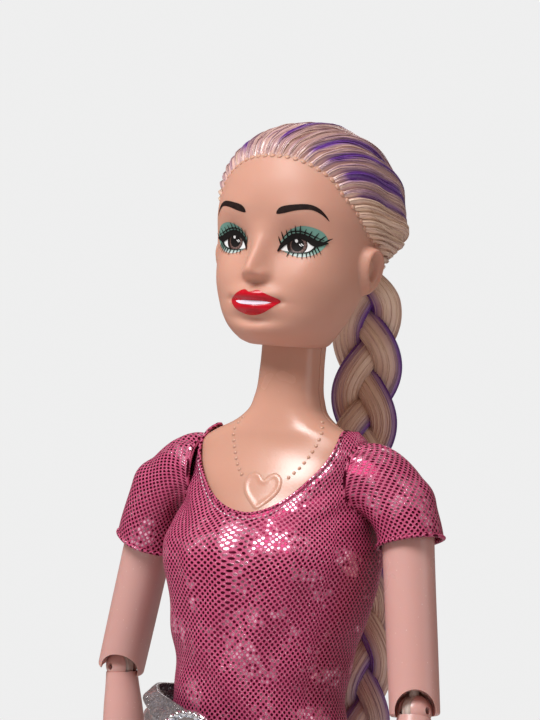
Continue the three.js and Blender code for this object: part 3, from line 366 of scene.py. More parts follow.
def place_camera():
    turn = math.radians(camera_turn)
    right = Vector((math.cos(turn), math.sin(turn), 0))
    aim = -aim_left * right + Vector((0, 0, aim_height - WAIST))
    eye = Vector((math.sin(turn), -math.cos(turn), 0)) * camera_distance
    eye += Vector((0, 0, camera_height - WAIST))
    eye += -aim_left * right
    data = bpy.data.cameras.new("camera")
    data.lens = camera_lens
    data.sensor_width = 36
    data.sensor_fit = "AUTO"
    data.clip_start = 0.01
    camera = bpy.data.objects.new("camera", data)
    bpy.context.collection.objects.link(camera)
    look = (aim - eye).to_track_quat("-Z", "Y").to_matrix().to_4x4()
    camera.matrix_world = (
        Matrix.Translation(eye * MM) @ look @ Matrix.Rotation(math.radians(camera_roll), 4, "Z")
    )
    bpy.context.scene.camera = camera
    return camera


camera = place_camera()
print("camera at", [round(value, 4) for value in camera.matrix_world.translation])

# %% [markdown]
# The light is plain studio light. A large soft lamp stands at the picture's left in front of the doll,
# a weaker one fills from the right, another stands behind, and a dim, warm world lights everything a
# little. The pale background is shown to the camera alone, so it puts no more light on the doll.


# %% Lamps, world and floor
def lamp(name, turn, height, distance, size, power):
    """A square soft lamp aimed at the chest. turn is its angle round the doll, 0 in front, + to its left."""
    data = bpy.data.lights.new(name, "AREA")
    data.size = size
    data.energy = power
    obj = bpy.data.objects.new(name, data)
    bpy.context.collection.objects.link(obj)
    angle = math.radians(turn)
    spot = Vector((math.sin(angle) * distance, -math.cos(angle) * distance, height))
    aim = Vector((0, 0, 0.05)) - spot
    obj.matrix_world = Matrix.Translation(spot) @ aim.to_track_quat("-Z", "Y").to_matrix().to_4x4()


lamp("lamp_front", -14, 0.8, 0.75, 0.45, 12.8)
lamp("lamp_right", 95, 0.3, 1.0, 0.5, 0.8)
lamp("lamp_back", 200, 0.6, 1.0, 0.4, 1.4)

back_colour = (0.86, 0.86, 0.86)


def studio_world():
    """A dim, warm world for the light, with the pale background shown to the camera alone."""
    world = bpy.data.worlds.new("studio")
    world.use_nodes = True
    bpy.context.scene.world = world
    nodes, links = world.node_tree.nodes, world.node_tree.links
    ground = nodes["Background"]
    ground.inputs["Color"].default_value = (0.95, 0.74, 0.66, 1)
    ground.inputs["Strength"].default_value = 0.27
    shown = nodes.new("ShaderNodeBackground")
    shown.inputs["Color"].default_value = (*back_colour, 1)
    rays = nodes.new("ShaderNodeLightPath")
    chosen = nodes.new("ShaderNodeMixShader")
    links.new(rays.outputs["Is Camera Ray"], chosen.inputs[0])
    links.new(ground.outputs[0], chosen.inputs[1])
    links.new(shown.outputs[0], chosen.inputs[2])
    links.new(chosen.outputs[0], nodes["World Output"].inputs["Surface"])


studio_world()


def studio_floor():
    finish = Finish("floor_paper")
    finish.set(Base_Color=(0.7, 0.7, 0.7), Roughness=0.9)
    half = 1200
    corners = [(-half, -half, 0), (half, -half, 0), (half, half, 0), (-half, half, 0)]
    floor = piece("floor", corners, [(0, 1, 2, 3)], finish.material, smooth=False)


studio_floor()

bpy.context.scene.view_settings.view_transform = "Standard"

# %% [markdown]
# The head is soft matte vinyl. The body and the limbs are hard plastic, with a satin gloss and a pinker
# colour. Vinyl is cloudy, so both let a little light in, and fine noise breaks up colour and gloss.


# %% Skin finishes
def skin_finish(name, colour, shade, roughness, glow, specks=0.0):
    finish = Finish(name)
    where = finish.place()
    cloud = finish.noise(where, 60.0, 3.0)
    grain = finish.noise(where, 2600.0, 2.0)
    base = finish.mix(finish.limit(cloud, 0.3, 0.7), colour, shade)
    if specks:
        dust = finish.cells(where, 900.0, "Distance")
        base = finish.mix(finish.limit(dust, 0.03, 0.1, specks, 0.0), base, (0.96, 0.9, 0.86))
    finish.set(
        Base_Color=base,
        Roughness=finish.limit(cloud, 0.3, 0.7, roughness - 0.04, roughness + 0.05),
        Normal=finish.relief(grain, 0.12, 0.0001),
        Subsurface_Weight=glow,
        Subsurface_Radius=(1.0, 0.36, 0.2),
        Subsurface_Scale=0.0025,
    )
    return finish.material


vinyl = skin_finish("vinyl", (0.61, 0.325, 0.24), (0.59, 0.3, 0.22), 0.52, 0.4)
shell_plastic = skin_finish("shell_plastic", (0.61, 0.325, 0.24), (0.59, 0.31, 0.225), 0.24, 0.3)
limb_plastic = skin_finish("limb_plastic", (0.64, 0.36, 0.325), (0.62, 0.34, 0.305), 0.3, 0.25, 0.5)
print("skin finishes:", vinyl.name, shell_plastic.name, limb_plastic.name)

# %% [markdown]
# The head is one skin through level outlines, from the jaw to the crown. Each row of the table is a
# height above the chin, the half width, the reach to the front and to the back, how square the outline
# is, and how far its middle lies in front of the neck. The face is then pushed out and in by smooth
# hills and hollows: nose, lips, chin, cheeks and eye sockets.

# %% Head outlines
head_table = [
    (0.0, 7.2, 6.9, 9.9, 2.2, 3.2),
    (0.5, 8.2, 8.5, 10.3, 2.2, 3.3),
    (1.4, 9.2, 10.2, 10.4, 2.2, 3.3),
    (3.0, 10.7, 11.6, 10.2, 2.25, 3.3),
    (5.3, 12.3, 12.6, 10.2, 2.3, 3.0),
    (8.0, 13.7, 13.1, 10.2, 2.3, 2.5),
    (11.0, 14.9, 13.6, 10.8, 2.3, 1.8),
    (15.0, 15.8, 14.0, 12.6, 2.3, 0.9),
    (20.0, 16.4, 14.6, 15.4, 2.3, 0.2),
    (25.0, 16.6, 15.3, 17.8, 2.3, 0.0),
    (29.0, 16.1, 15.4, 18.6, 2.2, 0.0),
    (33.0, 14.8, 14.4, 18.0, 2.1, 0.0),
    (36.5, 12.5, 12.6, 15.8, 2.0, 0.0),
    (39.0, 9.6, 10.0, 12.6, 2.0, 0.0),
    (40.8, 6.0, 6.4, 8.0, 2.0, 0.0),
    (41.5, 2.9, 3.1, 4.0, 2.0, 0.0),
    (41.7, 0.3, 0.3, 0.4, 2.0, 0.0),
]
nose_table = [
    (11.4, 0.0, 2.6),
    (12.2, 0.4, 2.5),
    (12.8, 1.7, 2.45),
    (13.3, 3.0, 2.35),
    (14.0, 3.8, 2.25),
    (15.0, 3.85, 2.1),
    (16.3, 3.2, 1.95),
    (18.0, 2.2, 1.9),
    (19.8, 1.3, 1.9),
    (21.5, 0.5, 2.1),
    (23.5, 0.0, 2.6),
    (27.0, 0.0, 3.0),
]


def face_push(x, h):
    """How far the face stands in front of its outlines at a place across and a height above the chin."""
    nose, width = through(nose_table, h).T.reshape(2, *np.shape(h))
    side = np.abs(x)
    push = nose * np.exp(-((side / width) ** 2))
    push += 0.8 * bump(side, 2.2, 0.95) * bump(h, 13.6, 1.05)
    push += -1.7 * bump(side, 6.5, 3.6) * bump(h, 19.6, 3.3)
    push += 0.5 * bump(side, 7.5, 5.0) * bump(h, 26.0, 2.2)
    push += 0.7 * bump(side, 9.0, 4.0) * bump(h, 13.2, 3.6)
    push += 0.8 * bump(x, 0, 5.6) * bump(h, 9.0, 3.0)
    push += 1.35 * bump(x, 0, 4.6) * bump(h, 9.7, 1.25)
    push += 1.35 * bump(x, 0, 3.9) * bump(h, 7.0, 1.25)
    push += -0.7 * bump(x, 0, 4.8) * bump(h, 8.35, 0.42)
    push += -0.3 * bump(side, 5.8, 0.8) * bump(h, 8.5, 0.8)
    push += -0.25 * bump(x, 0, 0.6) * bump(h, 11.4, 0.7)
    push += -0.75 * bump(x, 0, 4.2) * bump(h, 4.9, 1.0)
    push += 1.1 * bump(x, 0, 4.6) * bump(h, 2.6, 2.1)
    return push


def ear_push(ahead, h):
    """The moulded ear: a rim round a hollow, with a fold in it, and a lobe with a pierced dimple."""
    across, up = (ahead - 0.7 - 0.16 * (h - 15.4)) / 3.3, (h - 15.4) / 4.9
    across = across / (1 + 0.22 * up)
    radius = np.hypot(across, up)
    hollow = np.hypot((across - 0.1) / 0.62, (up - 0.16) / 0.62)
    fold = np.hypot((across - 0.2) / 0.5, (up - 0.1) / 0.5)
    push = 1.5 * (1 - smoothstep(0.84, 1.02, radius))
    push += 0.55 * bump(radius, 0.8, 0.14) * smoothstep(-0.9, -0.5, up)
    push += -1.2 * (1 - smoothstep(0.55, 1.0, hollow))
    push += 0.6 * bump(fold, 0.62, 0.16) * smoothstep(-0.3, 0.3, across + up)
    push += -0.5 * np.exp(-(np.hypot(ahead - 0.6, h - 11.9) / 0.42) ** 4)
    return push


def head_points():
    """Rows of the head, from two rings let in under the jaw up to the crown."""
    angles = full_turn(360)
    heights = np.concatenate([np.linspace(0, 3, 18, endpoint=False), np.linspace(3, 36, 132, endpoint=False)])
    heights = np.concatenate([heights, 41.7 - 5.7 * np.cos(np.linspace(0, np.pi / 2, 34))])
    rows = []
    for h, (half, front, back, power, middle) in zip(heights, through(head_table, heights)):
        nape = power - 0.45 * (1 - smoothstep(8.0, 18.0, h))
        sideways, forward = rounded(angles, np.where(np.cos(angles) > 0, power, nape))
        x = half * sideways
        y = -forward * np.where(forward > 0, front, back) - middle
        facing = smoothstep(0.05, 0.45, forward)
        y = y - face_push(x, np.full_like(x, h)) * facing
        x = x + np.sign(x) * ear_push(-y, h) * smoothstep(0.7, 0.85, np.abs(sideways))
        rows.append(level(x, y, chin + h))
    under = rows[0]
    inward = []
    for share, lift in ((0.97, -0.05), (0.92, -0.1)):
        ring = under * share + under.mean(axis=0) * (1 - share)
        ring[:, 2] = chin + lift
        inward.append(ring)
    return np.array(inward[::-1] + rows)


points, faces = skin(head_points(), "both")
piece("head_skin", points, faces, vinyl, "head", ["head"])
head_tree = ray_tree(points, faces)
print("head skin:", len(points), "points")

# %% [markdown]
# The face is painted on the vinyl: shadow, eye white, iris, pupil, lashes, brows and lips. Paint has a
# crisp edge and almost no thickness. It could be drawn in the vinyl's own material, but an outline in
# millimetres is easier to read. So each shape is an outline on the face, filled with small triangles,
# dropped straight onto the head and lifted off it by a few hundredths of a millimetre.


# %% Paint shapes dropped onto the face
def filled(outline, spacing=0.4):
    """Triangles inside an outline of points across and up, with inner points at the spacing."""
    outline = np.array(outline, float)
    low, high = outline.min(axis=0), outline.max(axis=0)
    extra = [
        (x, h)
        for x in np.arange(low[0] + spacing / 2, high[0], spacing)
        for h in np.arange(low[1] + spacing / 2, high[1], spacing)
    ]
    edges = [(index, (index + 1) % len(outline)) for index in range(len(outline))]
    places = [Vector(place) for place in (*outline.tolist(), *extra)]
    found = delaunay_2d_cdt(places, edges, [], 1, 1e-5)
    return np.array([tuple(place) for place in found[0]]), found[2]


in_front = -60.0


def dropped(places, lift):
    """Places across and up on the face, dropped onto the head from the front."""
    landed = []
    for x, h in places:
        spot, normal, _, _ = head_tree.ray_cast(Vector((x, in_front, chin + h)), Vector((0, 1, 0)))
        landed.append(spot + normal * lift)
    return landed


def paint(name, outlines, lift, finish, spacing=0.4, centre=(0, 0)):
    """One piece of paint from several outlines. Its lay is measured from the centre on either side."""
    points, faces, lay = [], [], []
    for outline in outlines:
        places, triangles = filled(outline, spacing)
        side = 1 if places[:, 0].mean() > 0 else -1
        start = len(points)
        points.extend(dropped(places, lift))
        lay.extend((side * x - centre[0], h - centre[1], 0) for x, h in places)
        faces.extend([start + index for index in face] for face in triangles)
    return piece(name, points, faces, finish, "head", lay=lay)


def smooth_loop(corners, count=96):
    """A closed smooth curve through its corners."""
    corners = np.array(corners, float)
    keys = np.arange(-3, len(corners) + 4)
    table = np.column_stack([keys, corners[keys % len(corners)]])
    return through(table, np.linspace(0, len(corners), count, endpoint=False))


def stroke(line, widths, count=24):
    """The outline of a brush stroke along a line, with its own width at each point of the line."""
    line, widths = np.array(line, float), np.array(widths, float)
    table = np.column_stack([np.arange(len(line)), line, widths])
    path = through(table, np.linspace(0, len(line) - 1, count))
    ahead = np.gradient(path[:, :2], axis=0)
    ahead /= np.linalg.norm(ahead, axis=1, keepdims=True)
    aside = np.column_stack([-ahead[:, 1], ahead[:, 0]]) * path[:, 2:] / 2
    return np.vstack([path[:, :2] + aside, (path[:, :2] - aside)[::-1]])


def both_sides(outlines):
    """Outlines of one side of the face, and the same mirrored."""
    return [np.array(outline) for outline in outlines] + [np.array(outline) * (-1, 1) for outline in outlines]


def disc(x, h, half, tall, count=40):
    angles = full_turn(count)
    return np.column_stack([x + half * np.cos(angles), h + tall * np.sin(angles)])


# %% Paint finishes
def paint_finish(name, colour, shade, roughness=0.42):
    finish = Finish(name)
    cloud = finish.noise(finish.place(), 900.0, 3.0)
    finish.set(
        Base_Color=finish.mix(finish.limit(cloud, 0.35, 0.65), colour, shade),
        Roughness=finish.limit(cloud, 0.3, 0.7, roughness - 0.05, roughness + 0.05),
        Normal=finish.relief(cloud, 0.05, 0.00005),
        Specular_IOR_Level=0.15,
    )
    return finish


black_paint = paint_finish("black_paint", (0.006, 0.005, 0.005), (0.01, 0.008, 0.008), 0.6).material
brow_paint = paint_finish("brow_paint", (0.012, 0.006, 0.006), (0.022, 0.012, 0.01), 0.6).material
white_paint = paint_finish("white_paint", (0.8, 0.8, 0.8), (0.74, 0.76, 0.77)).material
lip_paint = paint_finish("lip_paint", (0.56, 0.003, 0.016), (0.46, 0.002, 0.012), 0.3)
lip_paint.set(Coat_Weight=0.3, Coat_Roughness=0.1)
lip_paint = lip_paint.material
teeth_paint = paint_finish("teeth_paint", (0.74, 0.68, 0.78), (0.66, 0.6, 0.72)).material


def shadow_finish():
    """Teal lids that pale towards the inner corner and under the eye, with a dark crease."""
    finish = paint_finish("lid_paint", (0.2, 0.38, 0.32), (0.22, 0.4, 0.34), 0.5)
    x, h, _ = finish.parts(finish.attribute("lay", "Vector"))
    base = finish.mix(finish.limit(h, -2.2, -1.0), (0.6, 0.67, 0.66), (0.2, 0.37, 0.31))
    deep = finish.limit(h + x * 0.25, 1.6, 3.4)
    finish.set(Base_Color=finish.mix(deep, base, (0.15, 0.31, 0.26)))
    return finish.material


def iris_finish():
    """A brown ring, darker outside, with fine spokes."""
    finish = paint_finish("iris_paint", (0.07, 0.035, 0.025), (0.05, 0.02, 0.015), 0.3)
    lay = finish.attribute("lay", "Vector")
    x, h, _ = finish.parts(lay)
    radius = (x * x + h * h) ** 0.5
    angle = x.math("ARCTAN2", h)
    spokes = angle * 14.0 + finish.noise(lay, 3.0, 2.0) * 5.0
    spokes = finish.limit(spokes.math("SINE"), -1.0, 1.0)
    stops = [(0.62, (0.2, 0.13, 0.12)), (0.78, (0.13, 0.075, 0.065)), (0.86, (0.012, 0.008, 0.008))]
    ring = finish.ramp(radius / iris_half, stops)
    finish.set(Base_Color=finish.mix(spokes * 0.5, ring, (0.035, 0.018, 0.012)))
    return finish.material


iris_half = 2.05
lid_paint = shadow_finish()
iris_paint = iris_finish()
print("paint finishes:", ", ".join(paint.name for paint in bpy.data.materials if "_paint" in paint.name))

# %% Brows, lids and eyes
eye = (7.35, 19.35)
brow = smooth_loop([
    (3.5, 25.2), (4.5, 26.5), (7.7, 27.15), (9.8, 27.2), (11.2, 26.6), (12.2, 25.5), (12.75, 24.3),
    (11.7, 25.4), (10.1, 26.2), (7.7, 26.0), (5.0, 25.3),
])
lid = smooth_loop([
    (3.75, 19.6), (5.1, 21.75), (6.8, 22.75), (8.8, 23.15), (10.8, 22.75), (12.0, 21.95), (12.5, 20.8),
    (12.2, 19.6), (11.3, 18.4), (9.9, 17.55), (8.2, 17.2), (6.4, 17.4), (4.7, 18.1),
])
eye_white = smooth_loop([
    (4.0, 18.5), (4.9, 19.8), (6.0, 20.8), (7.4, 21.2), (8.9, 20.8), (9.8, 20.0), (10.3, 19.1),
    (9.6, 18.5), (8.5, 18.15), (6.9, 18.05), (5.3, 18.15),
])
iris_places = ((6.95, 19.45), (-7.35, 19.6))
paint("brow_paint_marks", both_sides([brow]), 0.05, brow_paint, 0.5)
paint("lid_paint_marks", both_sides([lid]), 0.04, lid_paint, 0.35, eye)
paint("eye_white_marks", both_sides([eye_white]), 0.07, white_paint, 0.4)
irises = [disc(x, h, iris_half, 2.0) for x, h in iris_places]
for iris in irises:
    iris[:, 1] = np.clip(iris[:, 1], 18.0, 21.2)
paint("iris_marks", irises, 0.1, iris_paint, 0.35, (7.15, 19.5))
paint("pupil_marks", [disc(x, h + 0.05, 1.3, 1.3) for x, h in iris_places], 0.13, black_paint, 0.5)
glints = []
for x, h in iris_places:
    glints.append(disc(x - 0.3, h + 0.85, 0.3, 0.36, 20))
    for shift in (0.55, 0.95):
        start = (x + shift + 0.25, h - 0.35 + 0.3 * shift)
        glints.append(stroke([start, (start[0] - 0.55, start[1] + 0.4)], [0.16, 0.2], 6))
paint("glint_marks", glints, 0.16, white_paint, 0.5)

# %% Liner and lashes
upper_line = [(3.5, 18.0), (4.3, 19.5), (5.7, 20.8), (7.3, 21.25), (9.0, 20.85), (10.6, 20.0), (12.6, 20.1)]
lower_line = [(3.6, 18.1), (5.0, 18.0), (6.8, 17.9), (8.6, 18.0), (9.8, 18.5), (10.6, 19.3), (11.6, 19.9)]
crease_line = [(4.1, 20.6), (5.5, 21.8), (7.3, 22.15), (8.9, 21.9), (10.3, 21.3), (12.0, 20.6)]
strokes = [
    stroke(upper_line, [0.25, 0.85, 1.05, 1.1, 1.15, 1.3, 0.2], 48),
    stroke(lower_line, [0.08, 0.1, 0.12, 0.14, 0.22, 0.3, 0.3], 40),
    stroke(crease_line, [0.1, 0.2, 0.26, 0.26, 0.22, 0.1], 40),
]
upper = through(np.column_stack([np.arange(7), upper_line]), np.linspace(0.75, 5.6, 11))
lower = through(np.column_stack([np.arange(7), lower_line]), np.linspace(1.3, 5.2, 9))
for step, (x, h) in enumerate(upper):
    lean = (x - 6.0) * 0.24
    reach = 1.85 + 0.25 * math.sin(step * 1.7)
    tip = (x + lean * reach * 0.62, h + reach * math.cos(lean * 0.6))
    bend = (x * 0.45 + tip[0] * 0.55 - 0.08, h * 0.45 + tip[1] * 0.55)
    strokes.append(stroke([(x, h), bend, tip], [0.34, 0.27, 0.1], 10))
for step, (x, h) in enumerate(lower):
    lean = (x - 6.8) * 0.2
    reach = 0.8 + 0.09 * step + 0.12 * math.cos(step * 2.1)
    tip = (x + lean * reach * 0.7, h - reach)
    strokes.append(stroke([(x, h), ((x + tip[0]) / 2, (h + tip[1]) / 2), tip], [0.24, 0.2, 0.07], 8))
paint("lash_marks", both_sides(strokes), 0.18, black_paint, 0.6)

# %% Lips and teeth
lips = smooth_loop([
    (-5.6, 8.3), (-4.6, 8.95), (-3.2, 9.75), (-1.5, 10.4), (0, 10.0), (1.5, 10.4), (3.4, 9.75), (5.6, 8.75),
    (4.7, 7.6), (3.1, 6.4), (1.5, 5.8), (0, 5.6), (-1.5, 5.75), (-3.1, 6.3), (-4.7, 7.3),
], 128)
teeth = smooth_loop([
    (-3.9, 8.05), (-2.2, 8.35), (0, 8.45), (2.2, 8.45), (4.0, 8.2), (2.4, 7.75), (0, 7.55), (-2.4, 7.65),
])
paint("lip_marks", [lips], 0.06, lip_paint, 0.35)
paint("teeth_marks", [teeth], 0.1, teeth_paint, 0.35)

# %% [markdown]
# The body is two hard shells, front and back, glued along the sides. The joint shows as a fine line on
# the neck. Each shell is half of the same outlines, closed along the joint, with the edge let in a
# little where the mould line runs. The chain and the heart on the chest are moulded into the front
# shell, so they are skin coloured.

# %% Body shells
body_table = [
    (156.5, 11.5, 7.9, 7.6),
    (160.1, 14.9, 10.1, 10.1),
    (164.1, 17.1, 11.2, 11.5),
    (169.7, 17.1, 10.9, 12.0),
    (176.8, 15.6, 9.9, 11.0),
    (185.1, 13.8, 9.4, 9.0),
    (192.4, 14.1, 10.1, 9.0),
    (200.0, 15.6, 11.9, 9.7),
    (204.5, 16.9, 14.1, 10.2),
    (209.1, 17.7, 14.8, 10.8),
    (213.6, 18.0, 13.7, 11.3),
    (218.9, 18.2, 11.2, 11.7),
    (224.5, 18.6, 9.3, 11.6),
    (228.0, 18.6, 7.9, 10.8),
    (231.0, 18.0, 7.1, 9.5),
    (233.1, 14.9, 6.9, 8.4),
    (234.8, 11.2, 6.7, 7.8),
    (237.0, 8.2, 6.5, 7.2),
    (240.2, 6.7, 6.3, 6.7),
    (245.4, 6.15, 6.1, 6.1),
    (252.3, 6.1, 6.08, 6.08),
]
body_power = 2.3


def body_half(front):
    """The front or the back shell, closed along the joint, with its edge let in."""
    turn = np.linspace(-np.pi / 2, np.pi / 2, 121)
    angles = turn if front else turn + np.pi
    heights = np.concatenate([np.linspace(156.5, 232, 150, endpoint=False), np.linspace(232, 252.3, 70)])
    rows = []
    sideways, forward = rounded(angles, body_power)
    for z, (half, ahead, behind) in zip(heights, through(body_table, heights)):
        edge = 1 - 0.012 * np.exp(-((np.pi / 2 - np.abs(turn)) / 0.02) ** 2)
        x = half * sideways * edge
        y = -forward * (ahead if front else behind) * edge
        y = np.minimum(y, -0.12) if front else np.maximum(y, 0.12)
        rows.append(level(x, y, z))
    return skin(rows, "both")


front_points, front_faces = body_half(True)
piece("body_front", front_points, front_faces, shell_plastic, "torso", ["torso_front"])
back_points, back_faces = body_half(False)
piece("body_back", back_points, back_faces, shell_plastic, "torso", ["torso_back"])
body_tree = ray_tree(front_points, front_faces)
print("body shells:", len(front_points) + len(back_points), "points")


# %% Moulded chain and heart
def round_bead(centre, radius, steps=8):
    """Rows of a small ball."""
    turns = full_turn(2 * steps)
    rows = []
    for lift in np.linspace(-np.pi / 2 + 0.12, np.pi / 2 - 0.12, steps):
        ring = level(np.cos(turns) * np.cos(lift), np.sin(turns) * np.cos(lift), np.sin(lift))
        rows.append(np.array(centre) + ring * radius)
    return rows


def joined(parts):
    """Many small skins as one set of points and faces."""
    points, faces, start = [], [], 0
    for more, their in parts:
        points.append(np.asarray(more))
        faces.extend(tuple(index + start for index in face) for face in their)
        start += len(more)
    return np.vstack(points), faces


def chest_spot(x, z):
    """The place on the chest straight behind a place across and up, and the way the chest faces there."""
    spot, normal, _, _ = body_tree.ray_cast(Vector((x, in_front, z)), Vector((0, 1, 0)))
    return np.array(spot), np.array(normal)


def even_steps(path, pitch):
    """Places along a line, a pitch apart."""
    path = np.array(path, float)
    run = run_along(path)
    at = np.arange(0, run[-1], pitch)
    return np.column_stack([np.interp(at, run, path[:, axis]) for axis in range(path.shape[1])])


chain_middle = 1.0
chain_line = np.array([(8.2, 235.5), (9.3, 233.4), (9.0, 231.0), (8.0, 228.6), (6.6, 226.0), (4.4, 223.4)])
heart_table = np.array([
    (0, 223.6), (0.9, 224.5), (2.3, 224.9), (3.7, 224.0),
    (4.1, 222.2), (3.4, 220.4), (1.8, 218.7), (0, 217.5),
])
beads = []
for sign in (1, -1):
    curve = through(np.column_stack([np.arange(6), chain_line]), np.linspace(0, 5, 200))
    for x, z in even_steps(curve, 1.28):
        spot, normal = chest_spot(chain_middle + sign * x, z)
        beads.append(skin(round_bead(spot - normal * 0.2, 0.44), "both"))
heart_edge = smooth_loop(np.vstack([heart_table, (heart_table[1:-1] * (-1, 1))[::-1]]) - (0, chin), 120)
places, triangles = filled(heart_edge, 0.3)
away = np.min(np.linalg.norm(places[:, None] - heart_edge[None], axis=2), axis=1)
raised = []
for (x, h), distance in zip(places, away):
    spot, normal = chest_spot(chain_middle + x, chin + h)
    lift = 0.2 * smoothstep(-0.1, 0.5, distance) - 0.1 * smoothstep(0.5, 1.4, distance) - 0.03
    raised.append(spot + normal * lift)
beads.append((np.array(raised), triangles))
points, faces = joined(beads)
piece("moulded_chain", points, faces, shell_plastic, "torso")
print("chain beads:", len(beads) - 1)

# %% [markdown]
# The shirt is a thin knit printed with small metallic dots in a diagonal lattice. Each dot is a dark mirror
# flake that reflects what it faces, and in broad patches the dots are painted bright pink-white, a painted
# reflection. Tiny pale specks are painted on the cloth between them as painted sparkle. The cloth coordinate
# holds millimetres across and up, so the dots keep their size. The dots are drawn by shader maths, and each
# gets its own small tilt.


# %% Dotted knit
def knit_finish():
    finish = Finish("knit")
    across, up, _ = finish.parts(finish.attribute("lay", "Vector"))
    pitch = 0.84
    lattice = pitch * 1.414
    first, second = (across + up) / lattice, (across - up) / lattice
    a, b = first % 1.0 - 0.5, second % 1.0 - 0.5
    radius = (a * a + b * b) ** 0.5
    dot = finish.limit(radius, 0.31, 0.39, 1.0, 0.0)
    cell = finish.out(finish.node("ShaderNodeCombineXYZ", X=first.math("FLOOR"), Y=second.math("FLOOR")))
    flake = finish.node("ShaderNodeTexWhiteNoise", {"noise_dimensions": "3D"}, Vector=cell)
    flake = finish.out(flake, "Value")
    where = finish.place()
    # Painted reflection: broad noise patches where the dots are painted bright, and each dot's own flake
    # value moves the patch edge a little
    reflection_patches = finish.noise(where, 150.0, 3.0)
    painted_reflection = finish.limit(reflection_patches + flake * 0.16, 0.64, 0.78)
    thread = finish.noise(where, 2500.0, 2.0)
    # Painted sparkle: tiny pale pink specks painted on the cloth between the dots, standing in for glints
    spark = finish.limit(finish.noise(where, 6500.0, 1.0), 0.66, 0.72)
    cloth = finish.mix(thread, (0.4, 0.035, 0.115), (0.56, 0.075, 0.19))
    cloth = finish.mix(spark, cloth, (0.9, 0.62, 0.72))
    # The dots' own dark maroon, painted bright pink-white inside the painted reflection patches
    dot_colour_and_painted_reflection = finish.mix(painted_reflection, (0.11, 0.006, 0.026), (0.95, 0.55, 0.68))
    finish.set(
        Base_Color=finish.mix(dot, cloth, dot_colour_and_painted_reflection),
        Metallic=dot * 0.92,
        Roughness=finish.limit(dot, 0.0, 1.0, 0.62, 0.24),
        Normal=finish.relief(dot * 0.6 + thread * 0.3 + flake * dot * 0.5, 0.35, 0.0002),
    )
    return finish.material


knit = knit_finish()
print("knit finish:", len(knit.node_tree.nodes), "nodes")


def lined_cloth(name, outside, lining, finish, body, node, lay=None):
    """A closed cloth from rows of its outside and its lining. lay is the cloth coordinate of the outside."""
    rows = np.concatenate([outside, lining[::-1]])
    if lay is not None:
        lay = np.concatenate([lay, lay[::-1]]).reshape(-1, 3)
    faces = row_faces(*rows.shape[:2], looped=True)
    return piece(name, rows.reshape(-1, 3), faces, finish, body, [node], lay=lay)


def thread_finish(name, colour, roughness=0.35, metallic=0.6):
    finish = Finish(name)
    grain = finish.noise(finish.place(), 5000.0, 2.0)
    finish.set(
        Base_Color=finish.mix(grain, colour, tuple(value * 0.6 for value in colour)),
        Roughness=finish.limit(grain, 0.3, 0.7, roughness - 0.1, roughness + 0.1),
        Normal=finish.relief(grain, 0.4, 0.0001),
        Metallic=metallic,
    )
    return finish.material


silver_thread = thread_finish("silver_thread", (0.85, 0.72, 0.78))

# %% [markdown]
# The shirt body is cut like the real one: front and back meet over the shoulders, and the neck is
# scooped out. Every column of cloth climbs from the hem until it meets the neckline or the shoulder,
# and is then divided into even rows, so the cut edge is clean. Soft folds are pushed into it.

# %% Shirt body
shirt_table = [
    (169.6, 18.7, 15.2, 13.2, 2.2),
    (176.5, 17.8, 15.3, 12.2, 2.2),
    (181.8, 17.0, 15.9, 11.1, 2.2),
    (188.1, 17.4, 16.5, 10.8, 2.2),
    (195.7, 18.9, 17.3, 11.4, 2.3),
    (202.0, 20.1, 17.9, 12.2, 2.5),
    (207.0, 21.0, 18.1, 12.9, 2.75),
    (211.0, 21.4, 17.1, 13.4, 2.75),
    (214.5, 20.6, 15.1, 13.7, 2.5),
    (218.5, 19.7, 12.7, 13.7, 2.35),
    (223.5, 19.2, 10.7, 13.3, 2.25),
    (227.0, 19.1, 9.4, 12.4, 2.25),
    (229.6, 18.6, 8.6, 11.1, 2.25),
    (231.6, 17.8, 7.2, 9.3, 2.25),
    (233.2, 16.7, 4.7, 6.1, 2.25),
    (234.3, 15.6, 0.2, 0.2, 2.25),
]
shirt_hem, shirt_top = 169.6, 234.3
scoop_front, scoop_back = 216.7, 229.5
neck_reach = {1: math.radians(55), -1: math.radians(73)}


def neck_edge(angle):
    """Height of the neckline at an angle from the front, and whether the cloth ends there."""
    share = min(math.pi - abs(angle), abs(angle)) / neck_reach[1 if angle > 0 else -1]
    if share >= 1:
        return shirt_top, False
    if abs(angle) < math.pi / 2:
        return scoop_front + 17.6 * share**1.55, True
    return scoop_back + 4.8 * share**3, True


def cloth_folds(x, z):
    """Soft folds of the shirt, in mm outwards."""
    fold = 0.28 * np.sin(z * 0.55 + x * 0.32 + 1.3 * np.sin(x * 0.21)) * bump(z, 186, 9)
    fold += 0.35 * np.sin((z - 0.9 * np.abs(x)) * 0.8) * bump(np.abs(x), 15, 5) * bump(z, 219, 6)
    fold += 0.22 * np.sin(x * 0.9 + z * 0.14) * bump(z, 205, 9)
    fold += 0.3 * np.sin((x - 0.45 * z) * 0.62 + 2.0) * bump(z, 194, 10)
    return fold


columns, rows = 420, 150
column_angles = np.linspace(-np.pi, np.pi, columns, endpoint=False) + np.pi / columns


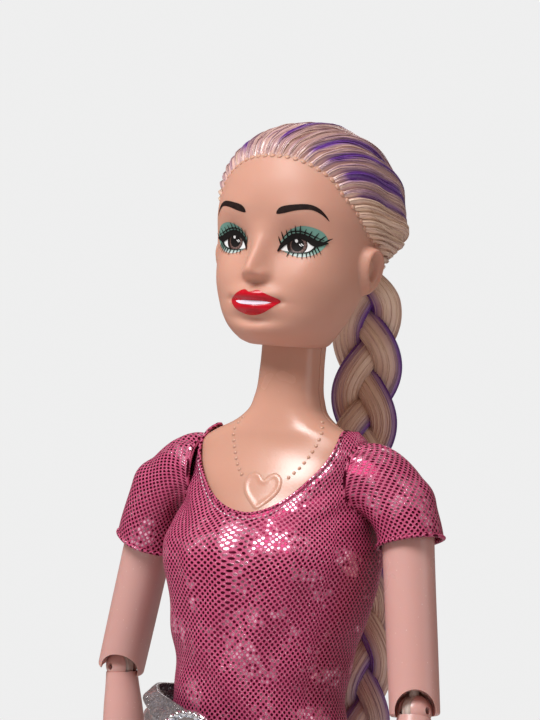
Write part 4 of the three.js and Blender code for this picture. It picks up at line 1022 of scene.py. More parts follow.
def shirt_columns(out=0.0):
    """Cloth points by column, each from the hem to its own end."""
    curved = shirt_top - 5.8 * np.cos(np.linspace(0, np.pi / 2, 160))
    climb = np.concatenate([np.linspace(shirt_hem, 228.5, 350, endpoint=False), curved])
    shape = through(shirt_table, climb)
    grid = []
    for angle in column_angles:
        sideways, forward = rounded(angle, shape[:, 3])
        front = math.cos(angle) > 0
        x = shape[:, 0] * sideways
        y = -forward * np.where(front, shape[:, 1], shape[:, 2])
        line = np.column_stack([x, y, climb])
        end, open_here = neck_edge(angle)
        tip = [np.interp(end, climb, line[:, axis]) for axis in range(3)]
        line = np.vstack([line[climb < end - 1e-6], tip])
        run = run_along(line)
        even = np.linspace(0, run[-1], rows)
        points = np.column_stack([np.interp(even, run, line[:, axis]) for axis in range(3)])
        outward = np.column_stack([points[:, 0] * 0.9, points[:, 1], np.zeros(rows)])
        outward /= np.linalg.norm(outward, axis=1, keepdims=True) + 1e-6
        upper = smoothstep(229.5, 234.0, points[:, 2])[:, None]
        outward = outward * (1 - upper) + np.array([0, 0, 1]) * upper
        near_end = run[-1] - even
        push = cloth_folds(points[:, 0], points[:, 2]) * smoothstep(0.5, 4, near_end) + out
        push = push - 0.16 * bump(near_end, 1.35, 0.3) * open_here
        push = push + 0.12 * (1 - smoothstep(0.0, 1.0, near_end)) * open_here
        grid.append(points + outward * push[:, None])
    return np.array(grid).transpose(1, 0, 2)


cloth = shirt_columns()
lining = shirt_columns(-0.4)
across = np.zeros((rows, columns))
girth = np.linalg.norm(np.diff(cloth[60], axis=0), axis=1)
across[:] = np.concatenate([[0], np.cumsum(girth)]) - girth.sum() / 2
height = run_along(cloth)
lay = np.stack([across, height, np.zeros_like(height)], axis=2)
lined_cloth("shirt_cloth", cloth, lining, knit, "torso", "shirt_body", lay)
shirt_tree = ray_tree(cloth.reshape(-1, 3), row_faces(rows, columns))
print("shirt:", 2 * rows * columns, "points, girth", round(float(girth.sum()), 1), "mm")


# %% [markdown]
# The neck edge is turned under and sewn with a silver thread. Each stitch is a short rounded dash that
# lies on the cloth, a little over a millimetre from the edge.


# %% Tubes along lines
def tube(line, radii, sides, closed=False, flat=1.0, up=(0, 0, 1)):
    """Rows of points round a line. flat squeezes the section along the up direction."""
    line = np.array(line, float)
    ahead = np.gradient(line, axis=0)
    if closed:
        ahead = np.roll(line, -1, axis=0) - np.roll(line, 1, axis=0)
    ahead /= np.linalg.norm(ahead, axis=1, keepdims=True) + 1e-9
    up = np.broadcast_to(np.array(up, float), line.shape)
    aside = np.cross(ahead, up)
    aside /= np.linalg.norm(aside, axis=1, keepdims=True) + 1e-9
    above = np.cross(aside, ahead)
    turns = full_turn(sides)[:, None]
    radii = np.broadcast_to(np.array(radii, float), len(line))[:, None, None]
    ring = aside[:, None] * np.cos(turns) + above[:, None] * np.sin(turns) * flat
    return line[:, None] + ring * radii


def ring_tube(line, radius):
    """A closed tube of ten sides along a closed line."""
    rows = tube(line, radius, 10, closed=True)
    return rows.reshape(-1, 3), row_faces(*rows.shape[:2], looped=True)


dash_length, dash_width, dash_height = 0.8, 0.24, 0.13


def dash(middle, ahead, outward):
    """One stitch: a short rounded dash lying on the cloth."""
    reach = np.linspace(-0.5, 0.5, 5)[:, None]
    line = middle + ahead * dash_length * reach + outward * (0.06 - 0.5 * (reach**2))
    radii = dash_width / 2 * np.array([0.35, 0.85, 1, 0.85, 0.35])
    return skin(tube(line, radii, 6, up=outward, flat=dash_height / dash_width * 2), "both")


def neck_line(inset, lift):
    """A closed line round the neck of the shirt, an inset below its edge."""
    found = []
    for column, angle in enumerate(column_angles):
        line = cloth[:, column]
        if neck_edge(angle)[1]:
            run = run_along(line[::-1])
            spot = np.array([np.interp(inset, run, line[::-1, axis]) for axis in range(3)])
            outward = np.array([spot[0], spot[1], 0]) / (np.hypot(spot[0], spot[1]) + 1e-6)
            found.append(spot + outward * lift)
    return np.array(found)


edge = neck_line(0.15, -0.1)
points, faces = ring_tube(edge, 0.34)
lay = np.column_stack([points[:, 0] * 1.2, points[:, 2] * 1.1, points[:, 1] * 0])
piece("neck_roll", points, faces, knit, "torso", lay=lay)
line = neck_line(1.35, 0.02)
closed = np.vstack([line, line[:1]])
middles = even_steps(closed, 1.15)
stitches = []
for index, middle in enumerate(middles[:-1]):
    ahead = middles[index + 1] - middle
    ahead /= np.linalg.norm(ahead) + 1e-9
    outward = np.array([middle[0] * 0.8, middle[1], 2.0])
    outward -= ahead * outward.dot(ahead)
    stitches.append(dash(middle, ahead, outward / np.linalg.norm(outward)))
points, faces = joined(stitches)
piece("neck_stitches", points, faces, silver_thread, "torso")
print("neck stitches:", len(stitches))

# %% [markdown]
# The arms hang as the doll holds them. Each part of an arm is made upright in its own place, running
# down from its joint, and is then carried to where the joints put it: swing and raise at the shoulder,
# turn and bend at the elbow. The angles are those of the CAD model.

# %% Where the joints put each part of an arm
shoulder_spacing = 27.0
shoulder_height = 221.0
upper_arm_length = 39.0
forearm_length = 41.0
rest_pose = {
    "left": {"sign": 1, "raise": 9.5, "swing": -4, "hem": 7.5, "notch": 25, "turn": -40, "bend": 12},
    "right": {"sign": -1, "raise": 15, "swing": 12, "hem": 12.0, "notch": 22, "turn": 49, "bend": 22},
}


def turned(angle, axis):
    return Matrix.Rotation(math.radians(angle), 4, axis)


def arm_places(pose):
    """Where the joints put the upper arm, the elbow disc, the forearm and the hand."""
    start = Matrix.Translation((pose["sign"] * shoulder_spacing, 0, shoulder_height))
    upper = start @ turned(pose["swing"], "X") @ turned(-pose["sign"] * pose["raise"], "Y")
    disc = upper @ Matrix.Translation((0, 0, -upper_arm_length)) @ turned(pose["notch"] + pose["turn"], "Z")
    fore = disc @ turned(-pose["bend"], "X")
    hand = fore @ Matrix.Translation((0, 0, -forearm_length)) @ turned(-pose["notch"] - pose["turn"], "Z")
    return {"upper": upper, "disc": disc, "fore": fore, "hand": hand}


def carried(points, place):
    """Points moved to where a joint puts them."""
    flat = np.array(points, float).reshape(-1, 3)
    matrix = np.array(place)
    return flat @ matrix[:3, :3].T + matrix[:3, 3]


# %% [markdown]
# Hard plastic parts have crisp cuts: the notch for the knuckle, the slot for the disc, the pin holes.
# They are cut with Blender's exact boolean from dense skins, and the edges at the cuts stay sharp. The
# elbow disc, a ring with a stem, is built without a cut.


# %% Turned forms, and cuts between them
def lathe(profile, sides=96):
    """A closed round form from rows of a height and a radius, with its ends filled."""
    turns = full_turn(sides)
    return skin([level(r * np.cos(turns), r * np.sin(turns), z) for z, r in profile], "both")


def ball_form(radius, reach, count, sides):
    """A ball round the origin, cut off just short of its poles, at the reach."""
    return lathe([(z, math.sqrt(radius**2 - z * z)) for z in np.linspace(-reach, reach, count)], sides)


def rod(start, end, radius, end_radius=None, sides=48, soft=0.0):
    """A rod between two places, with softened ends where asked."""
    start, end = np.array(start, float), np.array(end, float)
    end_radius = radius if end_radius is None else end_radius
    ahead = (end - start) / np.linalg.norm(end - start)
    line, radii = [], []
    for base, size, way in ((start, radius, 1), (end, end_radius, -1)):
        steps = [(0, 1)]
        if soft:
            bends = np.linspace(0, math.pi / 2, 7)
            steps = [(soft * size * (1 - math.sin(a)), 1 - soft * (1 - math.cos(a))) for a in bends]
        chain = [(base + way * ahead * drop, size * share) for drop, share in steps]
        chain = chain[::-1] if way == 1 else chain
        line += [place for place, _ in chain]
        radii += [size for _, size in chain]
    up = (0, 0, 1) if abs(ahead[2]) < 0.9 else (0, 1, 0)
    aside = np.cross(ahead, up)
    aside /= np.linalg.norm(aside)
    above = np.cross(aside, ahead)
    turns = full_turn(sides)[:, None]
    ring = aside * np.cos(turns) + above * np.sin(turns)
    return skin([place + size * ring for place, size in zip(line, radii)], "both")


def block(low, high):
    """A box between two corners."""
    outline = ((low[0], low[1]), (high[0], low[1]), (high[0], high[1]), (low[0], high[1]))
    corners = [(x, y, z) for z in (low[2], high[2]) for x, y in outline]
    faces = [(3, 2, 1, 0), (4, 5, 6, 7), (0, 1, 5, 4), (1, 2, 6, 5), (2, 3, 7, 6), (3, 0, 4, 7)]
    return np.array(corners, float), faces


def plain_object(form):
    """A form as an object, to be cut or melted, with its faces turned outwards."""
    mesh = bpy.data.meshes.new("form")
    mesh.from_pydata(np.asarray(form[0]).tolist(), [], [list(map(int, face)) for face in form[1]])
    box = bmesh.new()
    box.from_mesh(mesh)
    bmesh.ops.recalc_face_normals(box, faces=box.faces)
    box.to_mesh(mesh)
    box.free()
    obj = bpy.data.objects.new("form", mesh)
    bpy.context.collection.objects.link(obj)
    return obj


def evened(obj, modifiers):
    """The points and faces of a form after its modifiers, and the form is thrown away."""
    for kind, settings in modifiers:
        modifier = obj.modifiers.new(kind.lower(), kind)
        for key, value in settings.items():
            setattr(modifier, key, value)
    bpy.context.view_layer.update()
    mesh = obj.evaluated_get(bpy.context.evaluated_depsgraph_get()).to_mesh()
    points = np.empty(len(mesh.vertices) * 3)
    mesh.vertices.foreach_get("co", points)
    faces = [tuple(face.vertices) for face in mesh.polygons]
    points = points.reshape(-1, 3).copy()
    obj.evaluated_get(bpy.context.evaluated_depsgraph_get()).to_mesh_clear()
    bpy.data.objects.remove(obj)
    return points, faces


def cut(form, steps):
    """A form after cuts and joins. Each step is an operation and another form."""
    for operation, other in steps:
        tool = plain_object(other)
        settings = {"operation": operation, "object": tool, "solver": "EXACT"}
        form = evened(plain_object(form), [("BOOLEAN", settings)])
        bpy.data.objects.remove(tool)
    return form


# %% Upper arm, elbow disc and forearm
def upper_arm(pose):
    """An upper arm, with a ball hollow and a notch for the knuckle, a slot and a hole for the disc."""
    end = upper_arm_length + 0.2
    profile = [(5.2 * math.cos(a), 5.2 * math.sin(a)) for a in np.linspace(0.03, 1.45, 20)]
    places = np.linspace(2.0, end, 60)
    table = [(2.0, 5.15), (7.0, 5.0), (15.0, 4.9), (27.0, 4.85), (34.0, 4.8), (end, 4.75)]
    profile += [(-d, r[0]) for d, r in zip(places, through(table, places))]
    bends = np.linspace(0.2, math.pi / 2, 8)
    profile += [(-end - 0.6 * math.sin(a), 4.15 + 0.6 * math.cos(a)) for a in bends]
    facing = math.radians(pose["notch"])
    elbow = (0, 0, -upper_arm_length)
    points, faces = ball_form(3.7, 3.69, 40, 64)
    notch_end = (20 * math.sin(facing), -20 * math.cos(facing), -upper_arm_length)
    side = -pose["sign"]
    low = min(side * 1.5, side * 20), -2.5, -2.6
    high = max(side * 1.5, side * 20), 2.5, 20
    return cut(lathe(profile, 112), [
        ("DIFFERENCE", (points + np.array(elbow), faces)),
        ("DIFFERENCE", rod(elbow, notch_end, 3.8, sides=72)),
        ("DIFFERENCE", rod(elbow, (0, 0, -upper_arm_length + 9.4), 1.4, sides=32)),
        ("DIFFERENCE", ball_form(3.8, 3.79, 30, 64)),
        ("DIFFERENCE", block(low, high)),
    ])


def forearm():
    """A forearm with its knuckle, which is slotted for the disc and bored for the pin."""
    wrist = 40.6
    table = [
        (1.2, 3.2), (3.7, 3.42), (8.2, 3.95), (13.1, 4.3), (20.5, 4.13), (29.5, 3.44), (36.9, 2.97),
        (wrist, 2.88),
    ]
    places = np.linspace(1.2, wrist, 64)
    profile = [(-d, r[0]) for d, r in zip(places, through(table, places))]
    bends = np.linspace(0.3, math.pi / 2, 6)
    profile += [(-wrist - 0.4 * math.sin(a), 2.48 + 0.4 * math.cos(a)) for a in bends]
    return cut(lathe(profile, 112), [
        ("UNION", ball_form(3.2, 3.199, 48, 96)),
        ("DIFFERENCE", rod((-1.3, 0, 0), (1.3, 0, 0), 3.2, sides=64)),
        ("DIFFERENCE", block((-1.3, -3.2, 0), (1.3, 3.2, 6))),
        ("DIFFERENCE", block((-1.3, 0, -1.4), (1.3, 9, 4))),
        ("DIFFERENCE", rod((-9, 0, 0), (9, 0, 0), 0.75, sides=24)),
        ("DIFFERENCE", rod((0, 0, -60), (0, 0, -35.7), 1.5, sides=32)),
    ])


def elbow_disc():
    """A flat ring round the pin, with a stem that starts inside the ring."""
    turns = full_turn(72)
    outline = [(1.0, -1.0), (2.6, -1.0), (2.9, -0.7), (2.9, 0.7), (2.6, 1.0), (1.0, 1.0)]
    rows = [level(r * np.cos(turns), r * np.sin(turns), x)[:, [2, 0, 1]] for r, x in outline]
    ring = np.array(rows).reshape(-1, 3), row_faces(len(rows), len(turns), looped=True)
    return joined([ring, rod((0, 0, 1.6), (0, 0, 9), 0.95, sides=32)])


def link_finish():
    """Milky link plastic: pale, smooth and a little see-through at its edges."""
    finish = Finish("link_plastic")
    cloud = finish.noise(finish.place(), 300.0, 2.0)
    finish.set(
        Base_Color=finish.mix(cloud, (0.64, 0.56, 0.5), (0.56, 0.47, 0.42)),
        Roughness=finish.limit(cloud, 0.3, 0.7, 0.26, 0.36),
        Normal=finish.relief(cloud, 0.1, 0.0001),
        Subsurface_Weight=0.35,
        Subsurface_Radius=(1.0, 0.8, 0.6),
        Subsurface_Scale=0.001,
    )
    return finish.material


link_plastic = link_finish()


# %% [markdown]
# The hands are small and soft in form: a palm, four fingers that lie together and a thumb. They are
# built from overlapping rods, melted into one skin by a voxel remesh and then smoothed.


# %% Hands
def hand_form(pose):
    """A hand whose fingers curl towards the body."""
    curl = -pose["sign"]
    parts = [rod((0, 0, -1), (0, 0, 5), 1.15, sides=24)]
    palm = [(0.3, 2.35, 2.3), (2.0, 1.9, 2.7), (5.5, 1.7, 3.35), (8.5, 1.45, 3.3), (9.9, 1.0, 2.9)]
    palm = [(drop, drop, thick, wide) for drop, thick, wide in palm]
    turns = full_turn(40)
    rows = [
        level(thick * np.cos(turns), wide * np.sin(turns), -drop)
        for drop, thick, wide in through(palm, np.linspace(0.3, 9.9, 16))
    ]
    parts.append(skin(rows, "both"))
    for finger, length in enumerate((5.9, 7.0, 6.6, 4.9)):
        y = (finger - 1.5) * 1.66
        middle = (curl * 0.25, y * 1.08, -9.0 - length * 0.45)
        tip = (curl * 1.25, y * 1.14, -9.0 - length)
        parts.append(rod((0, y, -7.5), middle, 0.95, 0.86, 20, 0.5))
        parts.append(rod(middle, tip, 0.88, 0.66, 20, 0.9))
    parts.append(rod((0, -1.8, -2.6), (curl * 0.7, -4.1, -6.2), 1.15, 0.95, 20, 0.6))
    parts.append(rod((curl * 0.7, -4.1, -6.2), (curl * 1.3, -5.0, -9.6), 0.95, 0.7, 20, 0.9))
    form = plain_object(joined(parts))
    remesh = ("REMESH", {"mode": "VOXEL", "voxel_size": 0.26})
    return evened(form, [remesh, ("SMOOTH", {"factor": 0.6, "iterations": 6})])


sharp_angle = math.radians(32)
for side, pose in rest_pose.items():
    places = arm_places(pose)
    for name, form, place, body, finish, slot in (
        ("upper_arm_skin", upper_arm(pose), "upper", "upper_arm", limb_plastic, "limb_plastic"),
        ("elbow_disc_skin", elbow_disc(), "disc", "elbow_disc", link_plastic, "link_plastic"),
        ("forearm_skin", forearm(), "fore", "forearm", limb_plastic, "limb_plastic"),
        ("hand_skin", hand_form(pose), "hand", "hand", limb_plastic, "limb_plastic"),
    ):
        points, faces = form
        node = f"{body}_{side}"
        part = piece(f"{name}_{side}", carried(points, places[place]), faces, finish, node, [node])
        part.data.set_sharp_from_angle(angle=sharp_angle)
        print(f"{name}_{side}:", len(points), "points")

# %% [markdown]
# Each sleeve starts at the armhole seam, goes round the shoulder and ends in a hem on the arm. Every
# thread of cloth is a smooth curve that leaves the seam straight out and reaches the hem along the arm,
# so the cap is round on top and short under the arm. The top is gathered into the seam.


# %% Sleeves
def sleeve_rows(pose, out, turns):
    """Rows of a sleeve from its seam to its hem, the middles of both, and the way down the arm."""
    sign = pose["sign"]
    place = np.array(arm_places(pose)["upper"])
    down = -place[:3, 2]
    outward = place[:3, 0] * sign
    ahead = np.cross(down, outward)
    joint = place[:3, 3]
    seam = np.array([sign * 19.0, 0, shoulder_height + 3.6])
    hem = joint + down * pose["hem"] + outward * 0.5
    up = np.array([0, 0, 1.0])
    across = np.cross([sign, 0, 0.0], up)
    across = across * np.sign(across.dot(ahead))
    leave = np.array([sign * 0.95, 0, 0.22])
    steps = np.linspace(0, 1, 70)
    lines = []
    for turn in turns:
        a = seam + up * math.cos(turn) * (7.2 + out) + across * math.sin(turn) * (7.4 + out)
        spot = shirt_tree.ray_cast(Vector((sign * 32, a[1], a[2])), Vector((-sign, 0, 0)))[0]
        a[0] = sign * max(16.8, abs(spot[0]) - 0.35) if spot else sign * 17.2
        b = hem + outward * math.cos(turn) * (6.2 + out) - down * math.cos(turn) * 0.6
        b = b + ahead * math.sin(turn) * (6.3 + out)
        reach = np.linalg.norm(b - a) * (0.95 + 0.1 * max(0, math.cos(turn)))
        line = smooth_way(steps[:, None], a, b, reach, leave, down)
        inner = joint + down * np.clip((line - joint).dot(down), 0, pose["hem"])[:, None]
        away = line - inner
        far = np.linalg.norm(away, axis=1)
        away /= far[:, None] + 1e-6
        room = 5.75 + 0.04 * (inner - joint).dot(down) + out
        short = np.log1p(np.exp((room - far) * 4)) / 4 * smoothstep(0, 0.12, steps)
        line = line + away * short[:, None]
        gathers = 0.34 * math.cos(13 * turn + 0.6 * math.sin(3 * turn))
        gathers = gathers * (0.35 + 0.65 * max(0, math.cos(turn)))
        push = gathers * np.exp(-((steps / 0.3) ** 2)) * smoothstep(0, 0.05, steps)
        push = push + 0.22 * np.sin(2.0 * turn + 6.0 * steps + sign) * smoothstep(0.3, 0.8, steps)
        push = push + 0.12 * np.cos(5 * turn + 2.0 * steps) * smoothstep(0.5, 1.0, steps)
        lines.append(line + away * push[:, None])
    return np.array(lines).transpose(1, 0, 2), seam, hem, down


def row_frame(place):
    """A place in doll millimetres as the frame's own coordinates."""
    return tuple(framed([place])[0].tolist())


for side, pose in rest_pose.items():
    turns = full_turn(260)
    cloth_rows, seam, hem, down = sleeve_rows(pose, 0.0, turns)
    lining_rows = sleeve_rows(pose, -0.4, turns)[0]
    along = run_along(cloth_rows)
    around = np.broadcast_to(turns * 7.0, along.shape)
    lay = np.stack([around, along - along[-1:], np.zeros_like(along)], axis=2)
    bodies = (f"shoulder_link_{side}", f"upper_arm_{side}")
    names = f"sleeve_cloth_{side}", f"sleeve_{side}"
    sleeve = lined_cloth(names[0], cloth_rows, lining_rows, knit, None, names[1], lay)
    row_frame(seam)
    row_frame(seam + (hem - seam) * 0.75)
    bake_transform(sleeve)
    points, faces = ring_tube(cloth_rows[-1] - down * 0.25, 0.36)
    lay = np.column_stack([points[:, 0] * 1.3, points[:, 2], points[:, 1] * 0])
    piece(f"sleeve_hem_{side}", points, faces, knit, bodies[1], lay=lay)
    points, faces = ring_tube(cloth_rows[1] + np.array([pose["sign"] * 0.1, 0, 0]), 0.3)
    piece(f"sleeve_seam_{side}", points, faces, knit, bodies[0], lay=points * (0, 1, 1))
    print(f"sleeve_{side}:", 2 * along.size, "points")

# %% [markdown]
# Below the shirt the doll wears a sash and trousers of one glitter fabric. Glitter is many tiny mirror
# flakes, each at its own angle, glued on a grey cloth. Cells a third of a millimetre wide give each
# flake its own brightness and tilt. The sash is a bias strip, so it wraps in soft slanting folds.


# %% Glitter fabric
def glitter_finish():
    finish = Finish("glitter")
    where = finish.place()
    flake = finish.parts(finish.cells(where, 3200.0, "Color"))[0]
    spark = finish.limit(flake, 0.55, 0.95)
    cloud = finish.noise(where, 260.0, 3.0)
    cloth = finish.mix(cloud, (0.1, 0.095, 0.105), (0.26, 0.24, 0.26))
    finish.set(
        Base_Color=finish.mix(spark, cloth, (0.85, 0.83, 0.87)),
        Metallic=finish.limit(flake, 0.2, 0.7, 0.25, 0.95),
        Roughness=finish.limit(flake, 0.0, 1.0, 0.45, 0.16),
        Normal=finish.relief(flake + cloud * 0.6, 0.75, 0.00025),
    )
    return finish.material


glitter = glitter_finish()
print("glitter finish:", len(glitter.node_tree.nodes), "nodes")


def band_points(table, power, angles, count, out, ripple):
    """Rows of a cloth band from a table of height, half width, front and back."""
    heights = np.linspace(table[0][0], table[-1][0], count)
    sideways, forward = rounded(angles, power)
    built = []
    for z, (half, ahead, behind) in zip(heights, through(table, heights)):
        push = out + ripple(angles, z)
        reach = np.where(forward > 0, ahead, behind)
        built.append(level((half + push) * sideways, -forward * (reach + push), z))
    return np.array(built)


# %% Sash
sash_table = [
    (166.0, 21.8, 18.2, 15.8),
    (168.2, 22.9, 19.4, 16.6),
    (171.3, 23.3, 19.8, 16.8),
    (174.8, 23.1, 19.6, 16.6),
    (177.0, 21.9, 18.3, 15.8),
]


def sash_ripple(angles, z):
    """Slanting folds of the sash, in mm outwards."""
    fold = 0.5 * np.sin((z + 3.0 * np.sin(angles + 0.5)) * 1.35)
    fold = fold + 0.35 * np.sin(5 * angles + z * 0.5) + 0.2 * np.sin(11 * angles - z * 0.9)
    return fold - 0.25


def sash_climb(x):
    """How much higher the sash lies at a place across: it climbs to the doll's right side."""
    return np.where(x < 0, -0.25 * x, -0.1 * x)


turns = full_turn(420)
sash_rows = band_points(sash_table, 2.1, turns, 60, 0.0, sash_ripple)
sash_lining = band_points(sash_table, 2.1, turns, 60, -0.7, sash_ripple)
for rows_here in (sash_rows, sash_lining):
    rows_here[:, :, 2] += sash_climb(rows_here[:, :, 0])
lined_cloth("sash_cloth", sash_rows, sash_lining, glitter, "torso", "waist_sash")
print("sash:", sash_rows.shape)

# %% [markdown]
# The brooch is a ring of silver beads round a faceted stone, sewn to the front of the sash. The stone is
# clear plastic with a silver back, so it is made as a bright faceted form with flat faces.


# %% Brooch
def metal_finish(name, colour, roughness, metallic=1.0):
    finish = Finish(name)
    cloud = finish.noise(finish.place(), 700.0, 3.0)
    finish.set(
        Base_Color=finish.mix(cloud, colour, tuple(value * 0.85 for value in colour)),
        Roughness=finish.limit(cloud, 0.3, 0.7, roughness * 0.8, roughness * 1.3),
        Metallic=metallic,
    )
    return finish.material


silver = metal_finish("silver", (0.8, 0.8, 0.83), 0.16)
stone = metal_finish("stone", (0.75, 0.8, 0.86), 0.06, 0.55)
brooch_turn = math.radians(-9)
brooch_middle = np.array([23.4 * math.sin(brooch_turn), -1.5 - 18.3 * math.cos(brooch_turn), 171.5])
brooch_middle[2] += sash_climb(brooch_middle[0]) - 0.2
facing = np.array([math.sin(0.9 * brooch_turn), -math.cos(0.9 * brooch_turn), 0])
beside = np.array([math.cos(0.9 * brooch_turn), math.sin(0.9 * brooch_turn), 0])
above = np.array([0, 0, 1.0])


def on_brooch(points):
    """Points given as beside, above and out of the brooch."""
    points = np.array(points, float).reshape(-1, 3)
    base = brooch_middle + facing * 1.1
    return base + points[:, :1] * beside + points[:, 1:2] * above + points[:, 2:] * facing


def brooch_disc(radii, lifts, sides, middle=(0, 0, 0)):
    """A disc on the brooch from the radius and the lift of each of its rings."""
    turns = full_turn(sides)
    rings = [level(r * np.cos(turns), r * np.sin(turns), z) for r, z in zip(radii, lifts)]
    points, faces = skin(np.array(middle) + rings, "both")
    return on_brooch(points), faces


beads = []
for turn in full_turn(26):
    centre = on_brooch([(6.3 * math.cos(turn), 6.3 * math.sin(turn), 1.35)])[0]
    beads.append(skin(round_bead(centre, 0.69, 12), "both"))
beads.append(brooch_disc((6.2, 6.9, 6.95, 6.7, 5.3), (-0.6, -0.5, 0.6, 0.9, 0.9), 48))
points, faces = joined(beads)
piece("brooch_beads", points, faces, silver, "torso", ["brooch_frame"])
facets = [brooch_disc((4.2, 4.7, 3.6, 2.2), (0.7, 1.3, 2.3, 2.8), 12)]
for turn in full_turn(12):
    middle = (4.1 * math.cos(turn), 4.1 * math.sin(turn), 1.0)
    facets.append(brooch_disc((0.95, 0.8, 0.35), (0.2, 0.75, 1.05), 6, middle))
points, faces = joined(facets)
piece("brooch_crystal", points, faces, stone, "torso", ["brooch_stone"], smooth=False)
print("brooch:", len(beads) - 1, "beads and", len(facets), "facets")

# %% [markdown]
# The trousers are a seat and two straight legs. They are below the picture, so they are kept plain. They
# have only six flat sides, and the body shows through the seat behind. This is a fault that was found
# too late to mend: with 420 angles in place of 6 they would be round. Each leg is one mesh from the hem
# up to the hip, and it is attached to no body.

# %% Trousers
hip_spacing, knee_height = 10.5, 82.0
turns = full_turn(6)
seat_table = [(157.2, 14.1, 9.9, 9.6)]
seat_table += [(z, half + 1.2, front + 1.2, back + 1.2) for z, half, front, back in body_table[1:4]]


def wrinkle(angles, z):
    return 0.22 * np.sin(7 * angles + z * 0.4) * np.sin(z * 0.31)


seat_rows = band_points(seat_table, body_power, turns, 50, 0.0, wrinkle)
seat_lining = band_points(seat_table, body_power, turns, 50, -0.8, wrinkle)
lined_cloth("trouser_cloth_seat", seat_rows, seat_lining, glitter, "torso", "trouser_seat")
leg_table = [
    (27.0, 8.08), (45.9, 7.22), (64.8, 7.57), (81.2, 7.57), (90.0, 7.91), (108.9, 9.03), (127.8, 9.72),
    (142.9, 9.8), (151.0, 9.75), (155.2, 9.3), (158.6, 7.9), (160.8, 5.8), (162.0, 3.2),
]
for side, sign in (("left", 1), ("right", -1)):
    heights = np.concatenate([np.linspace(27, 150, 150, endpoint=False), np.linspace(150, 162, 40)])
    outer, inner = [], []
    for z, (radius,) in zip(heights, through(leg_table, heights)):
        for rows_here, out in ((outer, 0.0), (inner, -0.8)):
            reach = radius + out + wrinkle(turns, z) * smoothstep(162, 150, z)
            x = np.maximum(reach * np.sin(turns), -hip_spacing + 0.7)
            rows_here.append(level(sign * (hip_spacing + x), -reach * np.cos(turns), z))
    names = f"trouser_cloth_{side}", f"trouser_leg_{side}"
    leg = lined_cloth(names[0], np.array(outer), np.array(inner), glitter, None, names[1])
    knee = np.array([sign * hip_spacing, 0, knee_height])
    row_frame(knee + (0, 0, 9))
    row_frame(knee - (0, 0, 9))
    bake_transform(leg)
print("trousers:", len(seat_rows), "rows in the seat,", len(outer), "in each leg")

# %% [markdown]
# The hair is rooted: tufts of fine plastic fibre are sewn through the vinyl along the hairline and all
# over the scalp, swept back over the head, and gathered behind it into a plait. The hairline is a row of
# small ridges, one for each tuft, with a rim of vinyl in front of each. The fibre lies on the head as a
# skin with grooves between the tufts, and over the skin lie about a thousand separate fibres.


# %% Hair finish
def hair_finish():
    finish = Finish("hair")
    tint = finish.attribute("tint", "Fac")
    across, along, _ = finish.parts(finish.attribute("lay", "Vector"))
    spread = finish.node("ShaderNodeCombineXYZ", X=across * 6.0, Y=along * 0.22)
    fibre = finish.noise(finish.out(spread), 1.0, 3.0, 0.6)
    broad_spread = finish.node("ShaderNodeCombineXYZ", X=across * 1.4, Y=along * 0.1)
    broad = finish.noise(finish.out(broad_spread), 1.0, 2.0)
    shade = tint + (fibre - 0.5) * 0.5 + (broad - 0.5) * 0.35
    colours = [
        (0.0, (0.92, 0.7, 0.52)),
        (0.22, (0.74, 0.5, 0.42)),
        (0.42, (0.5, 0.31, 0.34)),
        (0.62, (0.36, 0.2, 0.36)),
        (0.8, (0.19, 0.055, 0.36)),
        (1.0, (0.12, 0.03, 0.29)),
    ]
    finish.set(
        Base_Color=finish.ramp(shade, colours),
        Roughness=finish.limit(fibre, 0.3, 0.7, 0.2, 0.34),
        Normal=finish.relief(fibre, 0.5, 0.00025),
        Specular_IOR_Level=0.9,
    )
    return finish.material


hair = hair_finish()
print("hair finish:", len(hair.node_tree.nodes), "nodes")

# %% [markdown]
# Every fibre starts at the hairline and runs to one gathering place behind the head, as the shortest
# way over a ball would. Its distance from the head is the skull, found by a ray, and a thickness.

# %% Flow lines over the head
hairline_table = [
    (0, 36.3), (18, 36.0), (32, 35.1), (43, 33.7), (53, 31.6), (59, 29.2), (67.5, 26.9), (75, 24.0),
    (86, 21.3), (97, 20.6), (105, 18.0), (112, 14.0), (125, 10.0), (150, 7.5), (180, 6.5),
]
hair_centre = np.array([0, 1.0, chin + 20.0])
gather = np.array([2.5, 20.5, chin + 17.5])


def skull_spot(start, ahead):
    return np.array(head_tree.ray_cast(Vector(start), Vector(ahead))[0])


loop_angles = np.linspace(-180, 180, 721)
loop = []
for angle, (h,) in zip(loop_angles, through(hairline_table, np.abs(loop_angles))):
    turn = math.radians(angle)
    loop.append(skull_spot((0, 0, chin + h), (math.sin(turn), -math.cos(turn), 0)))
loop = np.array(loop)
loop_run = run_along(loop)
loop_length = loop_run[-1]
tuft_count = int(round(loop_length / 1.68))
tuft_pitch = loop_length / tuft_count
print("hairline:", round(float(loop_length), 1), "mm,", tuft_count, "tufts")


def on_loop(run):
    """The place on the hairline at a distance along it, and its angle from the front."""
    run = np.mod(run, loop_length)
    angle = np.interp(run, loop_run, loop_angles)
    return np.stack([np.interp(run, loop_run, loop[:, axis]) for axis in range(3)], axis=-1), angle


violet_table = [
    (-32, 5, 0.55), (1, 2.2, 0.6), (28, 2.4, 0.85), (40.5, 2.2, 0.8), (52, 2.6, 0.9), (60.5, 1.4, 0.5),
    (128, 5, 0.5),
]


def tint_at(angle, t):
    """How violet the fibre is, from where it starts."""
    side = np.abs(angle)
    tint = 0.08 + 0.24 * smoothstep(66, 54, side)
    for middle, width, amount in violet_table:
        tint = tint + amount * bump(angle + 1.6 * np.sin(5 * t), middle, width) * smoothstep(0.02, 0.1, t)
    return np.clip(tint, 0, 1)


